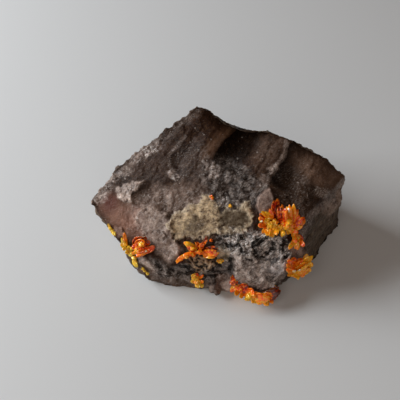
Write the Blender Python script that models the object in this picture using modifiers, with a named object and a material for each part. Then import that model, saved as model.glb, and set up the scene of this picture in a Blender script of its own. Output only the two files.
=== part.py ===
# A hand specimen of smoky barite with orpiment: one cleaved block of barite that lies on its
# flat base, and the separate orpiment crystal groups that grew on its front and left sides.
# Run with: blender --background --python part.py
# The frame has +Z up, +X to the right of the show side and +Y away from the viewer, and its
# origin lies on the flat base. Lengths below are in millimetres, and the scene is in metres.

import math
import random

import bmesh
import bpy
from mathutils import Matrix, Vector, noise
from mathutils.bvhtree import BVHTree

MM = 0.001

# The show side, on which the crystals sit, is laid out on a plane seen from above the horizon
SHOW_ELEVATION = 48.0  # degrees
SHOW_CENTRE_HEIGHT = 13.0

# Colours are linear
BARITE_COLOUR = (0.050, 0.036, 0.030)
BARITE_ROUGHNESS = 0.42
ORPIMENT_ROUGHNESS = 0.28

# Fineness of the solids
BLOCK_VOXEL = 0.55
BLOCK_TRIANGLES = 5400
SEAT_GAP = 0.3  # clearance between an orpiment group and the barite that carries it

# Corners of the cleaved block (x, y, z), and the outline (x, y) of its flat base
RIM_CORNERS = [
    (-27.9, 2.4, 12.2),  # left tip
    (-27.0, 1.7, 10.4),
    (-23.9, -2.2, 8.8),
    (-22.5, 8.2, 16.2),
    (-16.9, 10.9, 18.2),
    (-13.2, 14.2, 19.7),
    (-4.6, 20.8, 23.4),  # summit
    (-3.0, 21.0, 23.2),
    (11.3, 15.4, 19.6),
    (16.5, 14.2, 19.2),
    (21.4, 12.9, 17.4),
    (25.2, 11.3, 15.5),
    (28.5, 8.9, 13.0),  # right tip
]
FRONT_CORNERS = [
    (23.4, 2.7, 13.0),
    (18.4, -3.4, 14.0),
    (16.1, -7.7, 11.0),
    (15.1, -10.3, 8.8),
    (13.4, -12.8, 6.5),
    (11.0, -15.2, 3.0),
    (3.5, -10.6, 9.5),
    (3.9, -12.9, 2.0),
    (-4.7, -9.1, 9.0),
    (-9.9, -10.2, 7.0),
    (-20.4, -5.0, 7.6),
    (-17.6, -9.0, 4.6),
    (-15.8, -10.6, 1.4),
]
BACK_CORNERS = [
    (28.7, 7.1, 3.3),
    (-2.0, 23.5, 10.0),
    (12.0, 20.0, 7.0),
    (-20.0, 9.0, 8.0),
]
BASE_OUTLINE = [
    (-11.6, -11.2),
    (-6.1, -11.7),
    (-0.6, -12.8),
    (8.1, -12.8),
    (15.3, -9.2),
    (21.3, -4.1),
    (28.2, 5.6),
    (27.0, 11.0),
    (20.0, 16.5),
    (8.0, 19.5),
    (-6.0, 19.0),
    (-15.0, 9.0),
    (-16.0, -2.0),
]
BASE_DEPTH = 1.2  # the block is made this much deeper, and its base is then cut off flat

# Rounded knobs that grew out of the block: centre (x, y, z) and radii
KNOBS = [
    ((-0.7, -13.4, 1.6), (1.4, 1.4, 1.5)),
    ((2.1, -12.9, 2.4), (1.8, 1.5, 1.6)),
    ((17.4, -7.3, 7.2), (1.8, 1.5, 1.8)),
    ((14.6, -7.3, 10.4), (1.2, 1.2, 1.2)),
]

# Notches broken out of the block's edges: centre (x, y, z), radius and depth
NOTCHES = [
    {"centre": (4.5, 18.8, 22.5), "radius": 9.0, "depth": 2.2},
    {"centre": (28.0, 6.6, 9.8), "radius": 2.6, "depth": 1.5},
    {"centre": (15.0, -14.5, 9.0), "radius": 1.6, "depth": 0.6},
]

# Cleavage ledges of the show side: a line in show coordinates, left of which the face drops
# by depth over wall and then comes back within reach
LEDGES = [
    {"line": [(5.6, 19.0), (2.1, 15.4), (0.0, 12.2), (-1.6, 9.5)],
     "depth": 2.0, "wall": 1.0, "reach": 13.0},
    {"line": [(18.5, 15.5), (15.1, 13.0), (14.3, 10.4), (12.5, 7.8), (10.8, 4.6)],
     "depth": 1.9, "wall": 1.0, "reach": 9.0},
    {"line": [(-5.6, 17.4), (-9.7, 11.9), (-10.6, 10.4), (-10.2, 7.8), (-9.0, 5.6)],
     "depth": 1.0, "wall": 0.6, "reach": 8.0},
    {"line": [(-14.6, 6.6), (-16.4, 4.7), (-18.6, 2.4)],
     "depth": 0.9, "wall": 0.6, "reach": 6.0},
    {"line": [(3.8, -18.5), (3.6, -14.0), (3.7, -9.6)], "depth": 1.6, "wall": 0.5, "reach": 7.0},
    {"line": [(3.4, -13.2), (-1.0, -12.4), (-5.0, -12.3), (-9.4, -12.6)],
     "depth": 1.2, "wall": 0.6, "reach": 7.0},
]
LEDGE_END_FADE = 1.6

# Raised lobes (positive height) and shallow dishes (negative) of the show side, in show coordinates
LOBES = [
    {"centre": (-4.9, -3.2), "radii": (5.8, 2.9), "height": 0.8},  # pale crust
    {"centre": (-4.6, 0.3), "radii": (2.6, 1.9), "height": 0.7},
    {"centre": (4.4, -1.4), "radii": (3.6, 2.2), "height": 0.7},
    {"centre": (-13.2, -6.6), "radii": (3.2, 3.0), "height": 0.9},  # grey tongue
    {"centre": (-10.6, -9.6), "radii": (2.3, 3.0), "height": 1.1},
    {"centre": (11.2, 1.7), "radii": (1.7, 2.5), "height": 1.0},  # bean beside the rosette
    {"centre": (-19.9, 3.3), "radii": (1.9, 2.1), "height": 0.5},
    {"centre": (-20.6, -5.6), "radii": (1.0, 1.2), "height": 0.5},
    {"centre": (14.8, 4.8), "radii": (4.2, 5.2), "height": -1.3},
    {"centre": (2.4, 3.6), "radii": (3.4, 3.2), "height": -0.8},
    {"centre": (-1.5, -10.6), "radii": (4.6, 1.7), "height": -0.7},
    {"centre": (10.5, -9.4), "radii": (3.4, 2.2), "height": -0.6},
]
LOBE_EDGE = 0.30  # share of a lobe's radius over which its side falls

# Ledges of the sides away from the show side run nearly level round the block
BAND_AXIS = Vector((0.10, 0.22, 0.97)).normalized()
BAND_PITCH = 4.2
BAND_DEPTH = 0.75
BAND_WALL = 0.22  # share of the pitch taken by a ledge's wall

# Broken flat chips all over: size of a chip, and how far one can stand out. They are strongest
# on the rough lower part of the show side, and faint on the cleavage faces above it.
CHIPS = [
    {"size": 5.2, "height": 0.60},
    {"size": 2.3, "height": 0.30},
]
ROUGH_TOP = 5.0  # show coordinate above which the cleavage faces are clean
ROUGH_FADE = 7.0
CLEAN_SHARE = 0.35
CHIP_CREASE = 0.30  # share of a chip's size over which it falls to its edge

# Orpiment crystal groups. Each spray is a rough core with blades that fan out of it. The core
# stands on the block at a seat (right, up) on the show side, or is centred at a point (x, y, z).
# The blades point between two angles (degrees, anticlockwise from right, seen from the show
# side) and lean out of the face between two lifts (degrees). Sizes are in millimetres. The
# colours run from red through orange to yellow, as the groups do.
ORPIMENT = {
    "orpiment_rosette": {"colour": (0.74, 0.2, 0.02), "sprays": [
        {"seat": (11.1, -3.6), "core": 1.6, "blades": 11, "angles": (60, 285),
         "lifts": (5, 70), "length": (2.5, 3.3)},
        {"seat": (14.3, -4.4), "core": 1.4, "blades": 9, "angles": (-25, 125),
         "lifts": (5, 60), "length": (3.6, 4.8)},
        {"seat": (12.4, -2.6), "core": 1.0, "blades": 4, "angles": (75, 110),
         "lifts": (5, 40), "length": (3.2, 4.4)},
        {"seat": (12.8, -5.2), "core": 1.1, "blades": 3, "angles": (200, 340),
         "lifts": (10, 60), "length": (1.5, 2.0)},
        {"seat": (14.3, -6.0), "core": 1.1, "blades": 1, "angles": (200, 260),
         "lifts": (20, 60), "length": (1.4, 1.6)},
        {"seat": (15.5, -6.8), "core": 1.0, "blades": 3, "angles": (20, 200),
         "lifts": (20, 60), "length": (1.5, 1.9)},
        {"seat": (16.7, -7.9), "core": 1.1, "blades": 6, "angles": (-70, 230),
         "lifts": (5, 60), "length": (1.8, 2.4)},
    ]},
    "orpiment_right_cluster": {"colour": (0.72, 0.27, 0.03), "sprays": [
        {"at": (17.2, -10.3, 5.1), "core": 1.9, "blades": 14, "angles": (-180, 180), "lifts": (-5, 80),
         "length": (2.7, 3.4)},
    ]},
    "orpiment_front_bar": {"colour": (0.52, 0.13, 0.02), "sprays": [
        {"at": (3.4, -13.7, 4.8), "core": 1.1, "blades": 2, "angles": (120, 250),
         "lifts": (10, 60), "length": (1.4, 1.8)},
        {"at": (5.3, -14.5, 3.8), "core": 1.3, "blades": 3, "angles": (60, 280),
         "lifts": (10, 60), "length": (1.8, 2.3)},
        {"at": (7.6, -15.5, 2.8), "core": 1.4, "blades": 4, "angles": (40, 290),
         "lifts": (10, 70), "length": (1.9, 2.4)},
        {"at": (9.8, -16.2, 2.1), "core": 1.4, "blades": 4, "angles": (60, 300),
         "lifts": (10, 70), "length": (1.9, 2.4)},
        {"at": (11.7, -15.6, 2.2), "core": 1.4, "blades": 6, "angles": (-100, 90),
         "lifts": (0, 70), "length": (2.0, 2.7)},
    ]},
    "orpiment_star": {"colour": (0.5, 0.16, 0.02), "sprays": [
        {"seat": (-4.2, -9.7), "core": 0.9, "blades": 2, "angles": (196, 206),
         "lifts": (2, 16), "length": (4.8, 5.4),
         "width": (0.20, 0.26)},
        {"seat": (-4.6, -9.2), "core": 0.8, "blades": 2, "angles": (143, 156),
         "lifts": (8, 30), "length": (3.3, 3.9),
         "width": (0.26, 0.32)},
        {"seat": (-3.9, -9.1), "core": 0.8, "blades": 3, "angles": (50, 92),
         "lifts": (10, 35), "length": (2.6, 3.4)},
        {"seat": (-2.5, -9.9), "core": 1.1, "blades": 5, "angles": (-30, 20),
         "lifts": (2, 45), "length": (2.2, 3.0)},
    ]},
    "orpiment_left_bud": {"colour": (0.68, 0.13, 0.02), "sprays": [
        {"seat": (-16.3, -8.8), "core": 1.4, "blades": 9, "angles": (50, 320),
         "lifts": (10, 80), "length": (1.9, 2.4)},
        {"seat": (-15.2, -9.2), "core": 1.0, "blades": 3, "angles": (-14, 24),
         "lifts": (5, 40), "length": (1.9, 2.4)},
    ]},
    "orpiment_left_vein": {"colour": (0.48, 0.3, 0.03), "sprays": [
        {"at": (-20.2, -4.8, 8.2), "core": 0.8, "blades": 2, "angles": (60, 120),
         "lifts": (5, 40), "length": (1.4, 1.8)},
        {"at": (-19.9, -6.0, 7.2), "core": 0.8, "blades": 1, "angles": (90, 270),
         "lifts": (5, 60), "length": (1.1, 1.3)},
        {"at": (-19.3, -7.1, 6.4), "core": 0.9, "blades": 2, "angles": (90, 300),
         "lifts": (5, 60), "length": (1.1, 1.4)},
        {"at": (-18.7, -8.1, 5.5), "core": 0.9, "blades": 2, "angles": (180, 320),
         "lifts": (5, 60), "length": (1.1, 1.4)},
        {"at": (-18.1, -9.0, 4.6), "core": 0.8, "blades": 2, "angles": (230, 320),
         "lifts": (5, 50), "length": (1.1, 1.5)},
    ]},
    "orpiment_front_knot": {"colour": (0.6, 0.33, 0.03), "sprays": [
        {"seat": (-4.8, -15.4), "core": 1.1, "blades": 4, "angles": (40, 260),
         "lifts": (5, 80), "length": (1.3, 1.7)},
        {"seat": (-4.2, -16.6), "core": 0.9, "blades": 4, "angles": (200, 380),
         "lifts": (5, 80), "length": (1.1, 1.5)},
    ]},
    "orpiment_grain": {"colour": (0.66, 0.36, 0.04), "sprays": [
        {"seat": (0.5, -11.7), "core": 0.7, "blades": 3, "angles": (-10, 350),
         "lifts": (5, 60), "length": (0.9, 1.1)},
    ]},
    "orpiment_edge_strip": {"colour": (0.5, 0.34, 0.05), "sprays": [
        {"seat": (-23.4, -4.7), "core": 0.7, "blades": 1, "angles": (120, 120),
         "lifts": (5, 5), "length": (1.0, 1.2)},
        {"seat": (-22.8, -5.5), "core": 0.7, "blades": 1, "angles": (200, 200),
         "lifts": (5, 30), "length": (0.8, 1.0)},
        {"seat": (-22.2, -6.3), "core": 0.7, "blades": 1, "angles": (300, 300),
         "lifts": (5, 5), "length": (1.0, 1.2)},
    ]},
}
BLADE_WIDTH = (0.36, 0.52)  # share of a blade's length, unless its spray says otherwise
BLADE_THICKNESS = (0.18, 0.27)
BLADE_SIDES = 4
# Outline of a blade from its root to its blunt tip: (share of the length, share of the width)
BLADE_PROFILE = [(0.0, 0.60), (0.48, 1.0), (0.84, 0.82), (1.0, 0.42)]
CORE_ROUGHNESS = 0.22  # how unevenly a core's corners stand out, as a share of its radius
LINK_SHARE = 0.85  # radius of the lump between two cores of a group, as a share of the first one's
CORE_LIFT = 0.40  # how far a core's centre stands out of its seat, as a share of its radius
GROUND_GAP = 0.05  # the lowest crystal stays this far above the base's plane
RAY_START = 100.0  # a seat is looked for from this far outside the block


def show_axes():
    """Right, up and outward directions of the show side."""
    tilt = math.radians(SHOW_ELEVATION)
    up = Vector((0.0, math.sin(tilt), math.cos(tilt)))
    out = Vector((0.0, -math.cos(tilt), math.sin(tilt)))
    return Vector((1.0, 0.0, 0.0)), up, out


RIGHT, UP, OUT = show_axes()
SHOW_ORIGIN = Vector((0.0, 0.0, SHOW_CENTRE_HEIGHT))


def show_coordinates(point):
    """Where a point lies on the show side's plane, right and up of its centre."""
    offset = point - SHOW_ORIGIN
    return offset.dot(RIGHT), offset.dot(UP)


def smooth(value):
    value = min(max(value, 0.0), 1.0)
    return value * value * (3.0 - 2.0 * value)


def clear_scene():
    for obj in list(bpy.data.objects):
        bpy.data.objects.remove(obj, do_unlink=True)


def new_collection(name):
    collection = bpy.data.collections.new(name)
    bpy.context.scene.collection.children.link(collection)
    return collection


def new_material(name, colour, roughness):
    material = bpy.data.materials.new(name)
    material.use_nodes = True
    shader = material.node_tree.nodes["Principled BSDF"]
    shader.inputs["Base Color"].default_value = (*colour, 1.0)
    shader.inputs["Roughness"].default_value = roughness
    shader.inputs["Metallic"].default_value = 0.0
    material.diffuse_color = (*colour, 1.0)
    return material


def object_from(name, bm, collection):
    """An object in metres from a bmesh in millimetres."""
    bmesh.ops.scale(bm, vec=(MM, MM, MM), verts=bm.verts)
    mesh = bpy.data.meshes.new(name)
    bm.to_mesh(mesh)
    bm.free()
    obj = bpy.data.objects.new(name, mesh)
    collection.objects.link(obj)
    return obj


def bmesh_of(obj):
    """The object's mesh with its modifiers applied, as a bmesh in millimetres."""
    graph = bpy.context.evaluated_depsgraph_get()
    bm = bmesh.new()
    bm.from_object(obj, graph)
    bmesh.ops.scale(bm, vec=(1 / MM, 1 / MM, 1 / MM), verts=bm.verts)
    bm.normal_update()
    return bm


def store(bm, obj):
    """Puts a bmesh in millimetres back into the object, and drops its modifiers."""
    bmesh.ops.scale(bm, vec=(MM, MM, MM), verts=bm.verts)
    obj.modifiers.clear()
    bm.to_mesh(obj.data)
    bm.free()
    obj.data.update()


# The barite block

def signed_distance(line, u, v):
    """Distance to a line of points, positive on its left, and how far along it the nearest point is."""
    best = None
    travelled = 0.0
    for (u0, v0), (u1, v1) in zip(line, line[1:]):
        du, dv = u1 - u0, v1 - v0
        length = math.hypot(du, dv)
        share = ((u - u0) * du + (v - v0) * dv) / length**2
        held = min(max(share, 0.0), 1.0)
        away = math.hypot(u - u0 - held * du, v - v0 - held * dv)
        side = du * (v - v0) - dv * (u - u0)
        if best is None or away < best[0]:
            best = (away, math.copysign(away, side), travelled + held * length)
        travelled += length
    return best[1], best[2], travelled


def ledge_drop(ledge, u, v):
    side, along, total = signed_distance(ledge["line"], u, v)
    if side <= 0.0 or side >= ledge["reach"]:
        return 0.0
    ends = smooth(along / LEDGE_END_FADE) * smooth((total - along) / LEDGE_END_FADE)
    return ledge["depth"] * smooth(side / ledge["wall"]) * (1.0 - side / ledge["reach"]) * ends


def lobe_height(lobe, u, v):
    (cu, cv), (ru, rv) = lobe["centre"], lobe["radii"]
    radius = math.hypot((u - cu) / ru, (v - cv) / rv)
    edge = LOBE_EDGE if lobe["height"] > 0.0 else 1.0
    return lobe["height"] * smooth((1.0 - radius) / edge)


def chip_height(point, chip):
    """Height of the flat, tilted chip that a point belongs to. It falls to nothing at its edge."""
    scaled = point / chip["size"]
    distances, sites = noise.voronoi(scaled)
    tilt = noise.cell_vector(sites[0] * 7.3) * 2.0 - Vector((1.0, 1.0, 1.0))
    inside = smooth((distances[1] - distances[0]) / CHIP_CREASE)
    return chip["height"] * inside * ((scaled - sites[0]).dot(tilt) + 0.5 * tilt.z)


def notch_depth(point):
    """How far the notches push a point in."""
    return sum(
        notch["depth"] * smooth(1.0 - (point - Vector(notch["centre"])).length / notch["radius"])
        for notch in NOTCHES
    )


def roughness_share(point):
    """How strong the chips are at a point: full on the rough lower part, less on clean faces."""
    _, v = show_coordinates(point)
    return CLEAN_SHARE + (1.0 - CLEAN_SHARE) * smooth((ROUGH_TOP - v) / ROUGH_FADE)


def band_height(point):
    """Height of the nearly level ledges on the sides away from the show side."""
    level = point.dot(BAND_AXIS) / BAND_PITCH + 0.35 * noise.noise(point * 0.16)
    share = level % 1.0
    rise = share / (1.0 - BAND_WALL) if share < 1.0 - BAND_WALL else (1.0 - share) / BAND_WALL
    return BAND_DEPTH * (rise - 0.5)


def show_relief(point):
    """Height of the ledges, lobes and dishes at a point of the show side."""
    u, v = show_coordinates(point)
    u += 0.45 * noise.noise(point * 0.55)
    v += 0.45 * noise.noise(point * 0.55 + Vector((31.0, 7.0, 3.0)))
    lobes = sum(lobe_height(lobe, u, v) for lobe in LOBES)
    return lobes - sum(ledge_drop(ledge, u, v) for ledge in LEDGES)


def block_hull():
    """Convex block through the corners, with the knobs standing in its surface."""
    bm = bmesh.new()
    corners = RIM_CORNERS + FRONT_CORNERS + BACK_CORNERS
    corners = corners + [(x, y, -BASE_DEPTH) for x, y in BASE_OUTLINE]
    for corner in corners:
        bm.verts.new(corner)
    hull = bmesh.ops.convex_hull(bm, input=bm.verts)
    inside = [v for v in hull["geom_interior"] if isinstance(v, bmesh.types.BMVert)]
    bmesh.ops.delete(bm, geom=inside, context="VERTS")
    bmesh.ops.recalc_face_normals(bm, faces=bm.faces)
    for centre, radii in KNOBS:
        placed = Matrix.Translation(centre) @ Matrix.Diagonal((*radii, 1.0))
        bmesh.ops.create_icosphere(bm, subdivisions=3, radius=1.0, matrix=placed)
    return bm


def carve(bm):
    """Raises and lowers every point of the fine block by the reliefs that reach it."""
    moved = []
    for vert in bm.verts:
        point = vert.co.copy()
        shown = smooth((vert.normal.dot(OUT) - 0.10) / 0.35)
        chips = roughness_share(point) * sum(chip_height(point, chip) for chip in CHIPS)
        away = band_height(point) * (1.0 - shown)
        along = chips + away - notch_depth(point)
        moved.append(point + OUT * show_relief(point) * shown + vert.normal * along)
    for vert, point in zip(bm.verts, moved):
        vert.co = point


def cut_base(bm):
    """Cuts the block off flat at z = 0 and closes it with one face."""
    geometry = bm.verts[:] + bm.edges[:] + bm.faces[:]
    cut = bmesh.ops.bisect_plane(
        bm, geom=geometry, plane_co=(0, 0, 0), plane_no=(0, 0, 1), clear_inner=True
    )
    rim = [edge for edge in cut["geom_cut"] if isinstance(edge, bmesh.types.BMEdge)]
    bmesh.ops.holes_fill(bm, edges=rim, sides=0)
    bmesh.ops.triangulate(bm, faces=[face for face in bm.faces if len(face.verts) > 3])


def make_block(collection):
    block = object_from("barite_block", block_hull(), collection)
    remesh = block.modifiers.new("fine mesh", "REMESH")
    remesh.mode = "VOXEL"
    remesh.voxel_size = BLOCK_VOXEL * MM
    fine = bmesh_of(block)
    bmesh.ops.triangulate(fine, faces=fine.faces)
    carve(fine)
    faces = len(fine.faces)
    store(fine, block)
    fewer = block.modifiers.new("fewer faces", "DECIMATE")
    fewer.ratio = BLOCK_TRIANGLES / faces
    coarse = bmesh_of(block)
    cut_base(coarse)
    store(coarse, block)
    block.data.materials.append(new_material("smoky barite", BARITE_COLOUR, BARITE_ROUGHNESS))
    return block


# The orpiment crystal groups

def core_centre(tree, spray):
    """Where the core of a spray is centred."""
    if "at" in spray:
        return Vector(spray["at"])
    right, up = spray["seat"]
    place = SHOW_ORIGIN + RIGHT * right + UP * up
    hit, _, _, _ = tree.ray_cast(place + OUT * RAY_START, -OUT)
    seat = hit or tree.find_nearest(place)[0]
    return seat + OUT * spray["core"] * CORE_LIFT


def add_blade(bm, root, direction, length, width, draw):
    """One flat, blunt crystal blade that grows from root along direction."""
    lean = Matrix.Rotation(draw.uniform(0.0, math.pi), 3, direction)
    across = lean @ direction.orthogonal().normalized() * length * width * 0.5
    through = direction.cross(across).normalized() * length * draw.uniform(*BLADE_THICKNESS) * 0.5
    rings = []
    for along, share in BLADE_PROFILE:
        centre = root + direction * length * along
        ring = []
        for side in range(BLADE_SIDES):
            turn = 2.0 * math.pi * side / BLADE_SIDES
            ring.append(bm.verts.new(centre + (across * math.cos(turn) + through * math.sin(turn)) * share))
        rings.append(ring)
    for lower, upper in zip(rings, rings[1:]):
        for side in range(BLADE_SIDES):
            after = (side + 1) % BLADE_SIDES
            bm.faces.new((lower[side], lower[after], upper[after], upper[side]))
    bm.faces.new(rings[0][::-1])
    bm.faces.new(rings[-1])


def add_core(bm, centre, radius, draw):
    """An uneven lump of twenty flat faces."""
    turned = Matrix.Rotation(draw.uniform(0.0, math.pi), 4, OUT)
    core = bmesh.ops.create_icosphere(
        bm, subdivisions=1, radius=radius, matrix=Matrix.Translation(centre) @ turned
    )
    for vert in core["verts"]:
        vert.co += (vert.co - centre) * draw.uniform(-CORE_ROUGHNESS, CORE_ROUGHNESS)


def add_spray(bm, centre, spray, draw):
    """A rough core with a fan of blades."""
    add_core(bm, centre, spray["core"], draw)
    first, last = spray["angles"]
    for step in range(spray["blades"]):
        share = (step + draw.uniform(0.3, 0.7)) / spray["blades"]
        angle = math.radians(first + share * (last - first))
        lift = math.radians(draw.uniform(*spray["lifts"]))
        flat = RIGHT * math.cos(angle) + UP * math.sin(angle)
        direction = (flat * math.cos(lift) + OUT * math.sin(lift)).normalized()
        width = draw.uniform(*spray.get("width", BLADE_WIDTH))
        add_blade(bm, centre, direction, draw.uniform(*spray["length"]), width, draw)


def make_seat_cutter(block, collection):
    """A copy of the block, grown by the clearance, that the crystal groups are cut by."""
    cutter = bpy.data.objects.new("seat cutter", block.data)
    collection.objects.link(cutter)
    grow = cutter.modifiers.new("clearance", "DISPLACE")
    grow.direction = "NORMAL"
    grow.mid_level = 0.0
    grow.strength = SEAT_GAP * MM
    cutter.hide_render = True
    cutter.display_type = "WIRE"
    return cutter


def largest_body(bm):
    """Removes all but the largest of the separate bodies in a mesh."""
    left = set(bm.verts)
    bodies = []
    while left:
        front = [left.pop()]
        body = set(front)
        while front:
            near = {edge.other_vert(vert) for vert in front for edge in vert.link_edges} & left
            left -= near
            body |= near
            front = list(near)
        bodies.append(body)
    keep = max(bodies, key=len)
    bmesh.ops.delete(bm, geom=[vert for vert in bm.verts if vert not in keep], context="VERTS")


def above_ground(bm):
    """Cuts a crystal group off flat just above the plane of the base."""
    geometry = bm.verts[:] + bm.edges[:] + bm.faces[:]
    cut = bmesh.ops.bisect_plane(
        bm, geom=geometry, plane_co=(0, 0, GROUND_GAP), plane_no=(0, 0, 1), clear_inner=True
    )
    rim = [edge for edge in cut["geom_cut"] if isinstance(edge, bmesh.types.BMEdge)]
    bmesh.ops.holes_fill(bm, edges=rim, sides=0)


def make_crystal_group(name, group_of, tree, cutter, collection):
    draw = random.Random(name)
    sprays = group_of["sprays"]
    bm = bmesh.new()
    centres = [core_centre(tree, spray) for spray in sprays]
    for spray, centre in zip(sprays, centres):
        add_spray(bm, centre, spray, draw)
    for first, second, spray in zip(centres, centres[1:], sprays):
        add_core(bm, (first + second) / 2.0, spray["core"] * LINK_SHARE, draw)
    bmesh.ops.triangulate(bm, faces=[face for face in bm.faces if len(face.verts) > 3])
    group = object_from(name, bm, collection)
    seat = group.modifiers.new("seat", "BOOLEAN")
    seat.operation = "DIFFERENCE"
    seat.solver = "EXACT"
    seat.use_self = True
    seat.object = cutter
    fused = bmesh_of(group)
    largest_body(fused)
    above_ground(fused)
    bmesh.ops.triangulate(fused, faces=fused.faces)
    store(fused, group)
    material_name = name.replace("_", " ")
    group.data.materials.append(new_material(material_name, group_of["colour"], ORPIMENT_ROUGHNESS))
    return group


def main():
    clear_scene()
    specimen = new_collection("orpiment_with_barite")
    helpers = new_collection("cutters")
    block = make_block(specimen)
    surface = bmesh_of(block)
    tree = BVHTree.FromBMesh(surface)
    surface.free()
    cutter = make_seat_cutter(block, helpers)
    for name, group_of in ORPIMENT.items():
        make_crystal_group(name, group_of, tree, cutter, specimen)


main()
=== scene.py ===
# Orpiment with barite: a hand specimen of smoky barite, cleaved and broken, with groups of bladed
# orpiment crystals on its sloping front. Lengths are in millimetres until a mesh is stored.
import math
import random

import bmesh
import bpy
import numpy as np
from mathutils import Matrix, Vector, noise
from mathutils.bvhtree import BVHTree
from mathutils.kdtree import KDTree


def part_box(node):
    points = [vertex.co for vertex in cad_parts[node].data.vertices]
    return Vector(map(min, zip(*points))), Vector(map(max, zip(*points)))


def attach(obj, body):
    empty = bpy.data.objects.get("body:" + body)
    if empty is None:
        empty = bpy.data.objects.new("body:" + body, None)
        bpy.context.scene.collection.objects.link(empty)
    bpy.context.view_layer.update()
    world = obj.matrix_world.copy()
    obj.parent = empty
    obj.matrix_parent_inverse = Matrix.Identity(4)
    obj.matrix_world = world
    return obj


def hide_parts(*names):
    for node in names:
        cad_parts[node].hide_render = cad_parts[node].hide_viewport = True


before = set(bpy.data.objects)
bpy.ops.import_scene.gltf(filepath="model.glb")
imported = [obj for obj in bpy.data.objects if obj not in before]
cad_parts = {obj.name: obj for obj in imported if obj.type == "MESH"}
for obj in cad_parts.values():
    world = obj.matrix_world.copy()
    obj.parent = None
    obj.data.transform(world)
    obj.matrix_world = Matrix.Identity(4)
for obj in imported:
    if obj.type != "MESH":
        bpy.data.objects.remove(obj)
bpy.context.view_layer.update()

mm = 0.001

# The camera looks at the sloping front from 48 degrees above the table
view = {
    "elevation": 48.0,
    "distance": 160.0,
    "target": (-3.9, 1.0, 13.9),
    "frameWidth": 86.4,  # width of the picture at the target
    "pixels": 400,
}
tilt = math.radians(view["elevation"])
rightward = Vector((1.0, 0.0, 0.0))
upward = Vector((0.0, math.sin(tilt), math.cos(tilt)))
outward = Vector((0.0, -math.cos(tilt), math.sin(tilt)))
target = Vector(view["target"])
eye = target + outward * view["distance"]
pixel = view["frameWidth"] / view["pixels"]


def seenAt(points):
    # where points show in the picture, in pixels from its upper left corner
    away = points - np.array(target)
    shrink = view["distance"] / (view["distance"] - away @ np.array(outward)) / pixel
    half = view["pixels"] / 2
    return half + away[:, 0] * shrink, half - away @ np.array(upward) * shrink


def smoothStep(values):
    values = np.clip(values, 0.0, 1.0)
    return values * values * (3.0 - 2.0 * values)


def noiseField(points, size, shift=0.0):
    offset = Vector((shift, shift * 0.37, -shift * 0.71))
    return np.array([noise.noise(Vector(p) / size + offset) for p in points])


def cellField(points, size, shift=0.0):
    # for each point: how far inside its Voronoi cell it is, its place in the cell, the cell's random vector
    inside, place, own = [], [], []
    offset = Vector((shift, shift * 0.37, -shift * 0.71))
    for p in points:
        scaled = Vector(p) / size + offset
        distances, sites = noise.voronoi(scaled)
        inside.append(distances[1] - distances[0])
        place.append(scaled - sites[0])
        own.append(noise.cell_vector(sites[0] * 7.3))
    return np.array(inside), np.array(place), np.array(own) * 2.0 - 1.0


def lineSide(line, u, v):
    # distance to a line of points, positive on its left, how far along it the nearest point is, its length
    best = np.full(u.shape, 1e9)
    side = np.zeros(u.shape)
    along = np.zeros(u.shape)
    travelled = 0.0
    for (u0, v0), (u1, v1) in zip(line, line[1:]):
        du, dv = u1 - u0, v1 - v0
        length = math.hypot(du, dv)
        held = np.clip(((u - u0) * du + (v - v0) * dv) / length**2, 0.0, 1.0)
        away = np.hypot(u - u0 - held * du, v - v0 - held * dv)
        near = away < best
        best = np.where(near, away, best)
        side = np.where(near, np.copysign(away, du * (v - v0) - dv * (u - u0)), side)
        along = np.where(near, travelled + held * length, along)
        travelled += length
    return side, along, travelled


def insideOutline(outline, x, y):
    # distance to a closed outline, positive inside it
    best = np.full(x.shape, 1e9)
    crossed = np.zeros(x.shape, bool)
    for (x0, y0), (x1, y1) in zip(outline, outline[1:] + outline[:1]):
        dx, dy = x1 - x0, y1 - y0
        held = np.clip(((x - x0) * dx + (y - y0) * dy) / (dx * dx + dy * dy), 0.0, 1.0)
        best = np.minimum(best, np.hypot(x - x0 - held * dx, y - y0 - held * dy))
        spans = (y0 > y) != (y1 > y)
        rise = np.where(dy == 0.0, 1e-9, dy)
        crossed ^= spans & (x < x0 + (y - y0) * dx / rise)
    return np.where(crossed, best, -best)


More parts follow.
